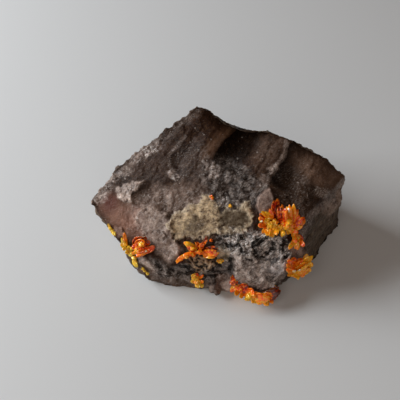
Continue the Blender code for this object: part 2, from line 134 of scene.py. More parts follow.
# The block's solid shape: the corners of its faces, as in the model of the part
block = {
    "corners": [
        (-27.9, 2.4, 12.2), (-27.0, 1.7, 10.4), (-23.9, -2.2, 8.8), (-22.5, 8.2, 16.2),
        (-16.9, 10.9, 18.2), (-13.2, 14.2, 19.7), (-4.6, 20.8, 23.4), (-3.0, 21.0, 23.2),
        (11.3, 15.4, 19.6), (16.5, 14.2, 19.2), (21.4, 12.9, 17.4), (25.2, 11.3, 15.5),
        (28.5, 8.9, 13.0), (23.4, 2.7, 13.0), (18.4, -3.4, 14.0), (16.1, -7.7, 11.0),
        (15.1, -10.3, 8.8), (13.4, -12.8, 6.5), (11.0, -15.2, 3.0), (3.5, -10.6, 9.5),
        (3.9, -12.9, 2.0), (-4.7, -9.1, 9.0), (-9.9, -10.2, 7.0), (-20.4, -5.0, 7.6),
        (-17.6, -9.0, 4.6), (-15.8, -10.6, 1.4), (28.7, 7.1, 3.3), (-2.0, 23.5, 10.0),
        (12.0, 20.0, 7.0), (-20.0, 9.0, 8.0),
    ],
    "base": [
        (-11.6, -11.2), (-6.1, -11.7), (-0.6, -12.8), (8.1, -12.8), (15.3, -9.2), (21.3, -4.1),
        (28.2, 5.6), (27.0, 11.0), (20.0, 16.5), (8.0, 19.5), (-6.0, 19.0), (-15.0, 9.0),
        (-16.0, -2.0),
    ],
    "below": 1.2,  # depth under the base that is cut off again
    "knobs": [
        ((-0.7, -13.4, 1.6), (1.4, 1.4, 1.5)),
        ((2.1, -12.9, 2.4), (1.8, 1.5, 1.6)),
        ((17.4, -7.3, 7.2), (1.8, 1.5, 1.8)),
        ((14.6, -7.3, 10.4), (1.2, 1.2, 1.2)),
    ],
    "notches": [
        ((4.5, 18.8, 22.5), 9.0, 2.2),
        ((28.0, 6.6, 9.8), 2.6, 1.5),
        ((15.0, -14.5, 9.0), 1.6, 0.6),
    ],
    "voxel": 0.255,  # side of one face of the fine mesh
    "sharpAngle": 24.0,
    "edgeHeight": 0.35,  # an edge that stands out by this much is the palest
    "frontFrom": 0.10,  # a place belongs to the front from this much turned to the camera
    "frontOver": 0.35,
    "frontMiddle": (0.0, 0.0, 13.0),  # the ledges and hollows are measured right and up from here
}

# Cleavage steps of the front: the line of the crest (right, up), how deep the dish beside it is, and how
# far the dish reaches before it has risen again
ledges = [
    ([(9.6, 23.5), (5.6, 19.0), (2.1, 15.4), (0.0, 12.2), (-1.6, 9.5)], 1.25, 9.5),
    ([(22.5, 18.5), (18.5, 15.5), (15.1, 13.0), (14.3, 10.4), (12.5, 7.8), (10.8, 4.6)], 1.25, 8.0),
    ([(-5.0, 18.0), (-9.7, 11.9), (-10.6, 10.4), (-10.2, 7.8), (-9.0, 5.6)], 0.30, 4.5),
    ([(-14.6, 6.6), (-16.4, 4.7), (-18.6, 2.4)], 0.4, 5.0),
    ([(3.8, -18.5), (3.6, -14.0), (3.7, -9.6)], 1.5, 6.0),
    ([(3.4, -13.2), (-1.0, -12.4), (-5.0, -12.3), (-9.4, -12.6)], 1.0, 6.0),
]
ledgeFade = 1.6

# Patches of the front, each with its outline in the picture. lift raises it in millimetres, soft and
# ragged are in pixels, and the other values say how much of each finish it carries. clears takes away what
# paler patches before it left there.
patches = {
    "westFacet": {
        "outline": [
            (104, 178), (130, 160), (160, 134), (186, 134), (170, 154), (172, 178), (150, 192),
            (120, 196),
        ],
        "soft": 9, "ragged": 4, "lilac": 0.05, "frost": 0.07, "rough": 0.12,
    },
    "lowerFacet": {
        "outline": [(172, 180), (170, 152), (196, 140), (212, 160), (206, 180), (190, 190)],
        "soft": 10, "ragged": 5, "lilac": 0.05, "frost": 0.12, "rough": 0.1,
    },
    # painted shade: the facet beyond the first ledge, turned away from the light
    "darkFacet": {
        "outline": [
            (238, 127), (262, 131), (262, 142), (250, 156), (236, 170), (222, 176), (212, 170),
            (210, 161), (222, 143),
        ],
        "soft": 5, "ragged": 3, "dark": 0.8,
    },
    # partly the stone's own brown, partly painted light on the side of the first ledge that faces the light
    "lipBrown": {
        "outline": [
            (236, 128), (226, 136), (212, 155), (206, 163), (199, 160), (206, 146), (218, 130),
            (230, 122),
        ],
        "soft": 6, "ragged": 3, "brown": 0.55,
    },
    # painted shade in the dish beside the second ledge, over the stone's own brown
    "darkDish": {
        "outline": [
            (279, 164), (292, 164), (306, 176), (320, 192), (314, 206), (302, 222), (292, 205),
            (276, 200), (270, 182),
        ],
        "soft": 5, "ragged": 4, "dark": 0.62, "brown": 0.6, "frost": 0.11, "rough": 0.45,
    },
    "brownFacet": {
        "outline": [(294, 148), (312, 158), (340, 176), (332, 188), (318, 190), (302, 178), (290, 162)],
        "soft": 9, "ragged": 2, "brown": 0.95, "lilac": 0.16, "frost": 0.08,
    },
    # crestPatch and crestGlint: painted highlight along the lit crest of the second ledge, on pale crumbs
    "crestPatch": {
        "outline": [
            (285, 140), (288.5, 142), (287, 156), (281, 163), (275, 170), (271, 170), (276, 162),
            (283, 154),
        ],
        "soft": 1.6, "ragged": 1.2, "lilac": 0.42, "frost": 0.3, "rough": 0.3,
    },
    "crestGlint": {
        "outline": [(276, 163), (278, 168), (274, 174), (268, 174), (267, 169), (272, 166)],
        "soft": 2.0, "ragged": 1.6, "lilac": 0.9, "frost": 0.6, "rough": 0.3,
    },
    "crestGrey": {
        "outline": [(262, 138), (282, 140), (280, 154), (270, 164), (258, 170), (252, 158)],
        "soft": 8, "ragged": 4, "lilac": 0.13, "brown": 0.35, "frost": 0.06,
    },
    # painted highlight along the lit edge of the left step
    "leftCrest": {
        "outline": [
            (186, 134), (168, 154), (168, 166), (172, 178), (175, 178), (171.5, 165), (171, 156),
            (188, 137),
        ],
        "soft": 1.2, "ragged": 1.0, "lilac": 0.14, "frost": 0.3,
    },
    "leftCrumbs": {
        "outline": [(168, 172), (174, 170), (179, 174), (178, 181), (171, 180)],
        "soft": 1.6, "ragged": 2.5, "lilac": 0.55, "frost": 0.5, "rough": 0.7,
    },
    "rimGlints": {
        "outline": [(316, 190), (326, 188), (331, 194), (326, 199), (316, 198)],
        "soft": 3, "ragged": 3, "lilac": 0.3, "frost": 0.7, "rough": 0.5,
    },
    "crestTail": {
        "outline": [(262, 174), (269, 175), (268, 184), (262, 194), (256, 198), (254, 190)],
        "soft": 4, "ragged": 4, "lilac": 0.25, "frost": 0.3, "rough": 0.4,
    },
    "crackedPatch": {
        "outline": [
            (206, 160), (222, 158), (240, 166), (256, 178), (256, 204), (240, 212), (222, 212),
            (208, 196), (198, 176),
        ],
        "soft": 7, "ragged": 6, "lilac": 0.08, "frost": 0.22, "rough": 0.7, "dark": 0.6, "patchy": 0.35,
    },
    "fuzzyWhite": {
        "outline": [(206, 164), (214, 162), (220, 168), (221, 178), (214, 181), (209, 176)],
        "soft": 2.5, "ragged": 4.5, "lilac": 0.6, "frost": 0.6, "rough": 0.8,
    },
    "crackedLow": {
        "outline": [(214, 196), (226, 192), (232, 200), (226, 208), (214, 206)],
        "soft": 3, "ragged": 4, "frost": 0.6, "rough": 0.8, "lilac": 0.2,
    },
    "middleBand": {
        "outline": [
            (126, 198), (150, 188), (180, 184), (205, 182), (212, 200), (196, 214), (172, 222),
            (150, 226), (130, 214),
        ],
        "soft": 10, "ragged": 6, "lilac": 0.27, "brown": 0.5, "frost": 0.2, "rough": 0.35,
    },
    "palePebble": {
        "outline": [(166, 196), (172, 192), (174, 200), (172, 206), (167, 203)],
        "soft": 2, "ragged": 1, "lift": 0.3, "lilac": 0.9, "frost": 0.3,
    },
    "paleFlake": {
        "outline": [
            (116, 187), (126, 184), (144, 180), (139, 188), (132, 195), (134, 203), (124, 203),
            (118, 198),
        ],
        "soft": 1.5, "ragged": 2.5, "lift": 0.35, "lilac": 1.0, "frost": 0.5, "rough": 0.5,
    },
    "leftRim": {
        "outline": [
            (88, 202), (106, 176), (122, 166), (140, 150), (156, 140), (160, 148), (144, 158),
            (128, 172), (112, 186), (102, 204),
        ],
        "soft": 4, "ragged": 3.5, "frost": 0.45, "rough": 0.8, "lilac": 0.5,
    },
    "upperRim": {
        "outline": [(154, 142), (176, 124), (198, 106), (206, 108), (186, 124), (162, 144)],
        "soft": 3, "ragged": 3, "frost": 0.2, "rough": 0.3, "lilac": 0.15,
    },
    # painted glints on the left rim
    "brightRim": {
        "outline": [(144, 150), (152, 144), (160, 148), (152, 156), (146, 156)],
        "soft": 3, "ragged": 3, "frost": 0.9, "rough": 0.8, "lilac": 0.5,
    },
    "pinkCorner": {
        "outline": [
            (98, 202), (108, 194), (124, 202), (140, 206), (144, 218), (136, 232), (122, 236),
            (108, 220),
        ],
        "soft": 8, "ragged": 3, "pink": 1.0, "rough": 0.1, "frost": 0.05,
    },
    "redGlow": {
        "outline": [(100, 202), (110, 194), (118, 198), (116, 208), (106, 212)],
        "soft": 7, "ragged": 2, "glow": 1.0,
    },
    "pinkSkirt": {
        "outline": [(122, 224), (142, 218), (146, 232), (150, 238), (134, 240), (124, 236)],
        "soft": 6, "ragged": 3, "pink": 0.7, "brown": 0.4, "frost": 0.12, "rough": 0.25,
    },
    "tongue": {
        "outline": [
            (134, 214), (150, 206), (168, 212), (172, 226), (172, 238), (180, 246), (176, 256),
            (171, 263), (162, 258), (156, 250), (146, 240), (138, 228),
        ],
        "soft": 3.0, "ragged": 3.0, "lift": 0.6, "lilac": 0.56, "brown": 0.6, "frost": 0.24,
        "rough": 0.28,
    },
    "tongueTip": {
        "outline": [(160, 246), (172, 242), (180, 248), (176, 258), (171, 263), (164, 258)],
        "soft": 4.0, "ragged": 2.0, "lilac": 0.9, "pink": 0.5, "frost": 0.12,
    },
    "crustLeft": {
        "outline": [
            (169, 226), (174, 214), (184, 212), (190, 206), (200, 202), (205, 193), (210, 200),
            (216, 202), (221, 216), (220, 229), (212, 232), (204, 238), (190, 236), (176, 238),
        ],
        "soft": 1.8, "ragged": 4.6, "lift": 0.25, "crust": 1.0, "rough": 0.3, "frost": 0.12,
    },
    "crustShade": {
        "outline": [(188, 222), (198, 218), (206, 224), (200, 234), (190, 236), (182, 232)],
        "soft": 5, "ragged": 6, "shade": 0.8,
    },
    "crustSpot": {
        "outline": [(192, 216), (198, 215), (199, 221), (194, 223)],
        "soft": 2.5, "ragged": 2.5, "clears": 0.8, "shade": 1.0,
    },
    "crustRight": {
        "outline": [
            (218, 224), (230, 220), (238, 206), (246, 202), (253, 210), (252, 222), (246, 230),
            (232, 234), (219, 233),
        ],
        "soft": 1.8, "ragged": 4.6, "lift": 0.25, "clears": 0.6, "crust": 0.75, "brown": 0.5,
        "rough": 0.35, "frost": 0.12,
    },
    "crustHollow": {
        "outline": [
            (218, 220), (225, 211), (235, 210), (241, 207), (248, 212), (250, 222), (242, 229),
            (230, 226), (222, 228),
        ],
        "soft": 3, "ragged": 5.5, "clears": 0.9, "crust": 0.95, "shade": 1.0, "dark": 0.3, "lift": -0.2,
    },
    "bean": {
        "outline": [
            (256, 206), (258, 197), (264, 191), (270, 188), (273, 194), (274, 204), (268, 213),
            (260, 213),
        ],
        "soft": 1.3, "ragged": 0.4, "lift": 1.0, "lilac": 0.42, "pink": 0.45, "frost": 0.1,
    },
    "beanShade": {
        "outline": [(250, 200), (256, 190), (264, 184), (269, 186), (258, 196), (255, 208), (250, 210)],
        "soft": 2.5, "ragged": 1.5, "dark": 0.9,
    },
    "pinkBall": {
        "outline": [
            (280.5, 232), (283.5, 230.6), (286.4, 232.4), (286.4, 236), (283.4, 237.4), (280.4, 235.6),
        ],
        "soft": 1.2, "ragged": 0.3, "lift": 0.9, "lilac": 0.8, "pink": 0.5,
    },
    "brownChip": {
        "outline": [(115, 227), (122, 228), (125, 236), (119, 238), (114, 232)],
        "soft": 1.0, "ragged": 0.8, "lift": 0.4, "pink": 0.7, "lilac": 0.2,
    },
    "druse": {
        "outline": [
            (222, 234), (240, 230), (262, 232), (284, 236), (292, 246), (290, 262), (276, 268),
            (256, 262), (240, 256), (226, 262), (214, 246),
        ],
        "soft": 3, "ragged": 6, "lilac": 0.14, "frost": 0.9, "rough": 1.0, "dark": 0.9, "patchy": 1.0,
    },
    "paleBlock": {
        "outline": [
            (234, 255), (250, 256), (272, 260), (287, 262), (284, 276), (272, 290), (256, 288),
            (236, 284),
        ],
        "soft": 2.5, "ragged": 2.5, "lilac": 0.85, "frost": 0.6, "rough": 0.5, "patchy": 0.5,
    },
    "whiteSpot": {
        "outline": [(266, 264), (275, 257), (286, 264), (284, 272), (275, 276), (267, 271)],
        "soft": 6, "ragged": 3, "lilac": 1.0, "frost": 0.9, "rough": 0.6, "white": 0.7,
    },
    "blockPits": {
        "outline": [(268, 276), (280, 274), (282, 284), (274, 290), (266, 286)],
        "soft": 4, "ragged": 5, "dark": 0.85, "frost": 0.4, "rough": 0.8,
    },
    # partly the stone's dark foot, partly painted shade under the tongue and the crust
    "darkFront": {
        "outline": [
            (150, 258), (172, 266), (196, 262), (220, 258), (234, 256), (234, 280), (216, 284),
            (180, 282), (156, 276),
        ],
        "soft": 4, "ragged": 3, "dark": 0.75, "rough": 0.7, "frost": 0.2, "patchy": 0.7,
    },
    # painted shade in the hollow beside the pale block
    "darkHollow": {
        "outline": [(221, 250), (233, 252), (234, 276), (226, 276), (219, 262)],
        "soft": 2.5, "ragged": 1.5, "dark": 1.0, "rough": 0.5,
    },
    "netUnderStar": {
        "outline": [(182, 258), (196, 254), (214, 257), (214, 266), (206, 270), (200, 276), (192, 268)],
        "soft": 2.0, "ragged": 4.0, "net": 1.0, "rough": 0.6, "frost": 0.1,
    },
    "paleNet": {
        "outline": [(214, 250), (221, 246), (229, 252), (227, 260), (218, 259)],
        "soft": 2.0, "ragged": 3.0, "net": 0.3, "crust": 0.9, "frost": 0.6, "rough": 0.6,
    },
    "footBand": {
        "outline": [(138, 262), (156, 268), (190, 276), (200, 288), (178, 288), (154, 282), (142, 274)],
        "soft": 4, "ragged": 2, "brown": 0.5, "lilac": 0.1, "rough": 0.5, "frost": 0.2,
    },
    "paleKnob": {
        "outline": [(217, 276), (231, 275), (236, 290), (224, 294), (216, 290)],
        "soft": 2, "ragged": 1, "lilac": 0.7, "pink": 0.6, "frost": 0.08,
    },
    "greyKnob": {
        "outline": [(203, 283), (216, 283), (217, 294), (204, 295)],
        "soft": 2, "ragged": 1, "lilac": 0.4, "frost": 0.08,
    },
    "sideKnob": {
        "outline": [(291, 247), (300, 246), (308, 250), (307, 260), (296, 262), (290, 256)],
        "soft": 2, "ragged": 1, "lilac": 0.6, "pink": 0.5, "frost": 0.12,
    },
    "shard": {
        "outline": [(136, 256), (143, 257), (150, 263), (157, 268), (154, 272), (145, 267), (139, 262)],
        "soft": 1.5, "ragged": 2, "lilac": 0.75, "frost": 0.5, "rough": 0.5, "lift": 0.3,
    },
    # painted glints along the right ridge, on pale crumbs
    "rightRidge": {
        "outline": [
            (344, 178), (338, 184), (326, 198), (308, 214), (298, 238), (290, 254), (296, 256),
            (304, 240), (314, 218), (330, 202), (346, 184),
        ],
        "soft": 3, "ragged": 2.5, "frost": 0.35, "lilac": 0.3, "rough": 0.5,
    },
    "sideFace": {
        "outline": [
            (344, 182), (334, 200), (318, 214), (306, 236), (298, 256), (306, 262), (320, 250),
            (334, 228), (344, 200),
        ],
        "soft": 5, "ragged": 1, "streaky": 1.0, "lilac": 0.14, "rough": 0.25,
    },
    "sideTop": {
        "outline": [(344, 182), (334, 194), (322, 208), (328, 216), (340, 206), (346, 192)],
        "soft": 7, "ragged": 2, "brown": 0.5, "lilac": 0.85,
    },
}
finishes = (
    "dark", "brown", "lilac", "pink", "glow", "crust", "shade", "net", "white", "frost", "rough", "patchy",
    "streaky",
)

# The noises that make the patches' outlines ragged: size, seed, share
raggedness = [(1.9, 5.0, 0.9), (0.75, 9.0, 0.7), (0.38, 2.0, 0.4)]

# Wide shallow hollows of the front: centre (right, up), radii, depth
hollows = [
    ((14.8, 4.8), (4.2, 5.2), 0.9),
    ((2.4, 3.6), (3.4, 3.2), 0.5),
    ((-1.5, -10.6), (4.6, 1.7), 0.7),
    ((10.5, -9.4), (3.4, 2.2), 0.6),
]

# Steps where the stone split or broke: the way across them, how far apart and how high they are, the share
# of a step that rises slowly before it breaks off, and the noises (height, size, seed) that make them wander
cleavageWay = rightward * 0.86 - upward * 0.5 + outward * 0.1
steps = {
    "backBands": {
        "across": Vector((0.10, 0.22, 0.97)).normalized(), "pitch": 4.2, "height": 0.75, "slow": 0.78,
        "wander": [(0.35, 6.25, 0.0)],
    },
    "backSplits": {
        "across": Vector((0.16, -0.10, 0.98)).normalized(), "pitch": 1.9, "height": 0.36, "slow": 0.75,
        "wander": [(0.6, 4.0, 61.0), (0.2, 1.1, 63.0)],
    },
    "wideCleavage": {
        "across": cleavageWay, "pitch": 3.1, "height": 0.14, "slow": 0.82,
        "wander": [(0.55, 3.4, 21.0), (0.12, 0.8, 24.0)],
    },
    "fineCleavage": {
        "across": cleavageWay, "pitch": 1.2, "height": 0.06, "slow": 0.82,
        "wander": [(0.55, 3.4, 33.0), (0.12, 0.8, 36.0)],
    },
}

# Smaller relief of the stone
breakage = {
    "frontChips": [(5.2, 0.60, 0.30), (2.3, 0.30, 0.30)],  # each: size, height, softness of its edges
    "backChips": (6.0, 0.55, 0.25),
    "flakes": [(1.15, 0.20, 3.0), (0.60, 0.13, 17.0)],  # each: size, height, seed
    "edgeWear": [(1.8, 0.60, 51.0), (0.8, 0.36, 57.0)],  # each: size, height, seed
    "sharpFrom": 0.58,  # the edge value from which an edge is worn uneven
    "sharpOver": 0.14,
    "netSize": 0.85,  # the raised threads under the star
    "netWidth": 0.24,
    "netHeight": 0.24,
    "lineWobble": 0.16,  # how far the ledges' lines waver
    "wobbleSize": 1 / 0.55,
}

# What the sides that no patch reaches carry: finish, size of its blotches, the most of it
hiddenFinishes = [
    ("frost", 3.6, 0.5), ("lilac", 5.0, 0.45), ("brown", 7.0, 0.9), ("dark", 4.4, 0.6), ("rough", 6.0, 0.8),
]


def blockHull():
    # the block's flat faces round its corners, with the round knobs of its foot
    bm = bmesh.new()
    for corner in block["corners"] + [(x, y, -block["below"]) for x, y in block["base"]]:
        bm.verts.new(corner)
    hull = bmesh.ops.convex_hull(bm, input=bm.verts)
    unused = [v for v in hull["geom_interior"] if isinstance(v, bmesh.types.BMVert)]
    bmesh.ops.delete(bm, geom=unused, context="VERTS")
    bmesh.ops.recalc_face_normals(bm, faces=bm.faces)
    for centre, radii in block["knobs"]:
        placed = Matrix.Translation(centre) @ Matrix.Diagonal((*radii, 1.0))
        bmesh.ops.create_icosphere(bm, subdivisions=3, radius=1.0, matrix=placed)
    return bm


def fineMesh(bm, voxel):
    # one even skin of small faces round a rough shape
    mesh = bpy.data.meshes.new("rough shape")
    bm.to_mesh(mesh)
    bm.free()
    holder = bpy.data.objects.new("rough shape", mesh)
    bpy.context.scene.collection.objects.link(holder)
    remesh = holder.modifiers.new("skin", "REMESH")
    remesh.mode = "VOXEL"
    remesh.voxel_size = voxel
    result = bmesh.new()
    result.from_object(holder, bpy.context.evaluated_depsgraph_get())
    bpy.data.objects.remove(holder, do_unlink=True)
    bpy.data.meshes.remove(mesh)
    result.normal_update()
    return result


def averaged(bm, numbers, rounds):
    # every value drawn towards those of its neighbours on the mesh
    edges = np.array([[edge.verts[0].index, edge.verts[1].index] for edge in bm.edges])
    count = np.maximum(np.bincount(edges.ravel(), minlength=len(numbers)), 1)
    numbers = numbers.reshape(len(numbers), -1).astype(float)
    for _ in range(rounds):
        total = np.zeros_like(numbers)
        for column in range(numbers.shape[1]):
            total[:, column] = np.bincount(edges[:, 0], numbers[edges[:, 1], column], len(numbers))
            total[:, column] += np.bincount(edges[:, 1], numbers[edges[:, 0], column], len(numbers))
        numbers = 0.4 * numbers + 0.6 * total / count[:, None]
    return numbers


def edgeValues(bm, places, rounds, full):
    # 0.5 on a flat place, up to 1 on an edge that stands out by the full height, down to 0 in a hollow
    smoothed = averaged(bm, places, rounds)
    bm.normal_update()
    normals = np.array([vert.normal for vert in bm.verts])
    out = np.einsum("ij,ij->i", places - smoothed, normals)
    return np.clip(0.5 + 0.5 * out / full, 0.0, 1.0)


def chipHeights(points, size, height, crease):
    # flat tilted chips that fall to nothing at their edges, the same as on the solid
    inside, place, own = cellField(points, size)
    lean = np.einsum("ij,ij->i", place, own) + 0.5 * own[:, 2]
    return height * smoothStep(inside / crease) * lean


def flakeHeights(points, size, height, shift):
    # small plates that break off sharply against each other
    _, place, own = cellField(points, size, shift)
    return height * (np.einsum("ij,ij->i", place, own) + 0.4 * own[:, 2])


def stepHeights(points, kind):
    # overlapping steps: slow rises that break off sharply
    step = steps[kind]
    share = points @ np.array(step["across"]) / step["pitch"]
    for height, size, shift in step["wander"]:
        share += height * noiseField(points, size, shift)
    share %= 1.0
    rise = np.where(share < step["slow"], share / step["slow"], (1.0 - share) / (1.0 - step["slow"]))
    return step["height"] * (rise - 0.5)


def hollowDepths(u, v):
    # how deep the front is dished at places (right, up), and how much painted shade each of them gets from
    # lying close under a ledge
    depths = np.zeros(len(u))
    fall = np.zeros(len(u))
    for line, most, reach in ledges:
        side, along, total = lineSide(line, u, v)
        ends = smoothStep(along / ledgeFade) * smoothStep((total - along) / ledgeFade)
        share = np.clip(side / reach, 0.0, 1.0)
        # 27 / 4 brings the deepest place of the dish to 1
        depths += most * 27 / 4 * share * (1.0 - share) ** 2 * ends
        near = min(1.0, most / 1.2) * (1.0 - share) ** 2 * ends
        fall = np.maximum(fall, np.where(side > 0.0, near, 0.0))
    for (cu, cv), (ru, rv), most in hollows:
        depths += most * smoothStep(1.0 - np.hypot((u - cu) / ru, (v - cv) / rv))
    return depths, fall


def finishValues(points, shown):
    # how much of each finish every point carries, and how far its patches lift it
    values = {name: np.zeros(len(points)) for name in finishes}
    values["lift"] = np.zeros(len(points))
    x, y = seenAt(points)
    ragged = sum(share * noiseField(points, size, seed) for size, seed, share in raggedness)
    for patch in patches.values():
        depth = insideOutline(patch["outline"], x, y) + patch["ragged"] * ragged
        share = smoothStep(0.5 + depth / patch["soft"] / 2.0) * shown
        for name in ("frost", "lilac", "patchy"):
            values[name] *= 1.0 - patch.get("clears", 0.0) * share
        for name in finishes:
            if name in patch:
                values[name] = np.maximum(values[name], patch[name] * share)
        values["lift"] += patch.get("lift", 0.0) * share
        # pale patches hide the dark ones under them
        if "dark" not in patch:
            values["dark"] *= 1.0 - 0.8 * share * (patch.get("crust", 0.0) + patch.get("lilac", 0.0))
    return values


def brokenHeights(bm, points, values, back, v):
    # the relief along each point's own normal: chips, steps, worn edges, notches and fine breakage
    lowOnFront = 0.16 + 0.84 * smoothStep((5.0 - v) / 7.0)  # the foot of the front is the most broken
    chipped = lowOnFront * (1.0 - 0.75 * values["pink"]) * (1.0 - 0.6 * values["crust"])
    heights = chipped * sum(chipHeights(points, *chips) for chips in breakage["frontChips"])
    layered = np.maximum(back, 0.6 * values["streaky"])
    layers = stepHeights(points, "backBands") + stepHeights(points, "backSplits")
    heights += layered * (layers + chipHeights(points, *breakage["backChips"]))
    edges = edgeValues(bm, points, 12, block["edgeHeight"])
    sharp = smoothStep((edges - breakage["sharpFrom"]) / breakage["sharpOver"])
    wear = sum(height * noiseField(points, size, shift) for size, height, shift in breakage["edgeWear"])
    heights += sharp * wear
    for centre, radius, depth in block["notches"]:
        gone = np.linalg.norm(points - np.array(centre), axis=1)
        heights -= depth * smoothStep(1.0 - gone / radius)
    # plates and grains where the stone is rough, low steps on its clean faces
    rough = np.clip(values["rough"] + 0.25 * back, 0.0, 1.0)
    heights += rough * sum(flakeHeights(points, *flakes) for flakes in breakage["flakes"])
    clean = (1.0 - rough) * (1.0 - 0.8 * values["pink"]) * (1.0 - values["crust"])
    return heights + clean * (stepHeights(points, "wideCleavage") + stepHeights(points, "fineCleavage"))


def makeBlock():
    bm = fineMesh(blockHull(), block["voxel"])
    points = np.array([vert.co for vert in bm.verts])
    normals = np.array([vert.normal for vert in bm.verts])
    shown = smoothStep((normals @ np.array(outward) - block["frontFrom"]) / block["frontOver"])
    # 1 on the back and sides, falling to 0 some way before the edges of the front
    back = 1.0 - np.clip(2.2 * averaged(bm, shown, 110)[:, 0], 0.0, 1.0)
    wobble, size = breakage["lineWobble"], breakage["wobbleSize"]
    u = points[:, 0] + wobble * noiseField(points, size)
    v = (points - np.array(block["frontMiddle"])) @ np.array(upward) + wobble * noiseField(points, size, 11.0)
    depths, fall = hollowDepths(u, v)
    values = finishValues(points, shown)
    raised = values.pop("lift") - depths
    values["fall"] = fall * shown
    for name, size, most in hiddenFinishes:
        cover = most * smoothStep(0.5 + 2.2 * noiseField(points, size, 40.0 + size)) * back
        values[name] = np.maximum(values[name], cover)
    threads = 1.0 - np.abs(noiseField(points, breakage["netSize"], 31.0)) / breakage["netWidth"]
    raised += breakage["netHeight"] * values["net"] * np.clip(threads, -1.0, 1.0)
    heights = brokenHeights(bm, points, values, back, v)
    moved = points + np.outer(raised * shown, np.array(outward)) + normals * heights[:, None]
    moved[:, 2] = np.maximum(moved[:, 2], 0.0)
    for vert, place in zip(bm.verts, moved):
        vert.co = place
    # the material makes edges paler, partly as wear and partly as painted highlight, and paints shade into
    # hollows
    values["edge"] = edgeValues(bm, moved, 10, block["edgeHeight"])
    values["side"] = 1.0 - shown
    piece = storeMesh("bariteStone", bm, block["sharpAngle"])
    for name, numbers in values.items():
        layer = piece.data.attributes.new(name, "FLOAT", "POINT")
        layer.data.foreach_set("value", numbers.astype(np.float32))
    return piece


def storeMesh(name, bm, sharpAngle):
    # turns a shape in millimetres into an object in metres, with edges over the angle kept sharp
    bmesh.ops.scale(bm, vec=(mm, mm, mm), verts=bm.verts)
    mesh = bpy.data.meshes.new(name)
    bm.to_mesh(mesh)
    bm.free()
    piece = bpy.data.objects.new(name, mesh)
    bpy.context.scene.collection.objects.link(piece)
    mesh.shade_smooth()
    mesh.set_sharp_from_angle(angle=math.radians(sharpAngle))
    return piece
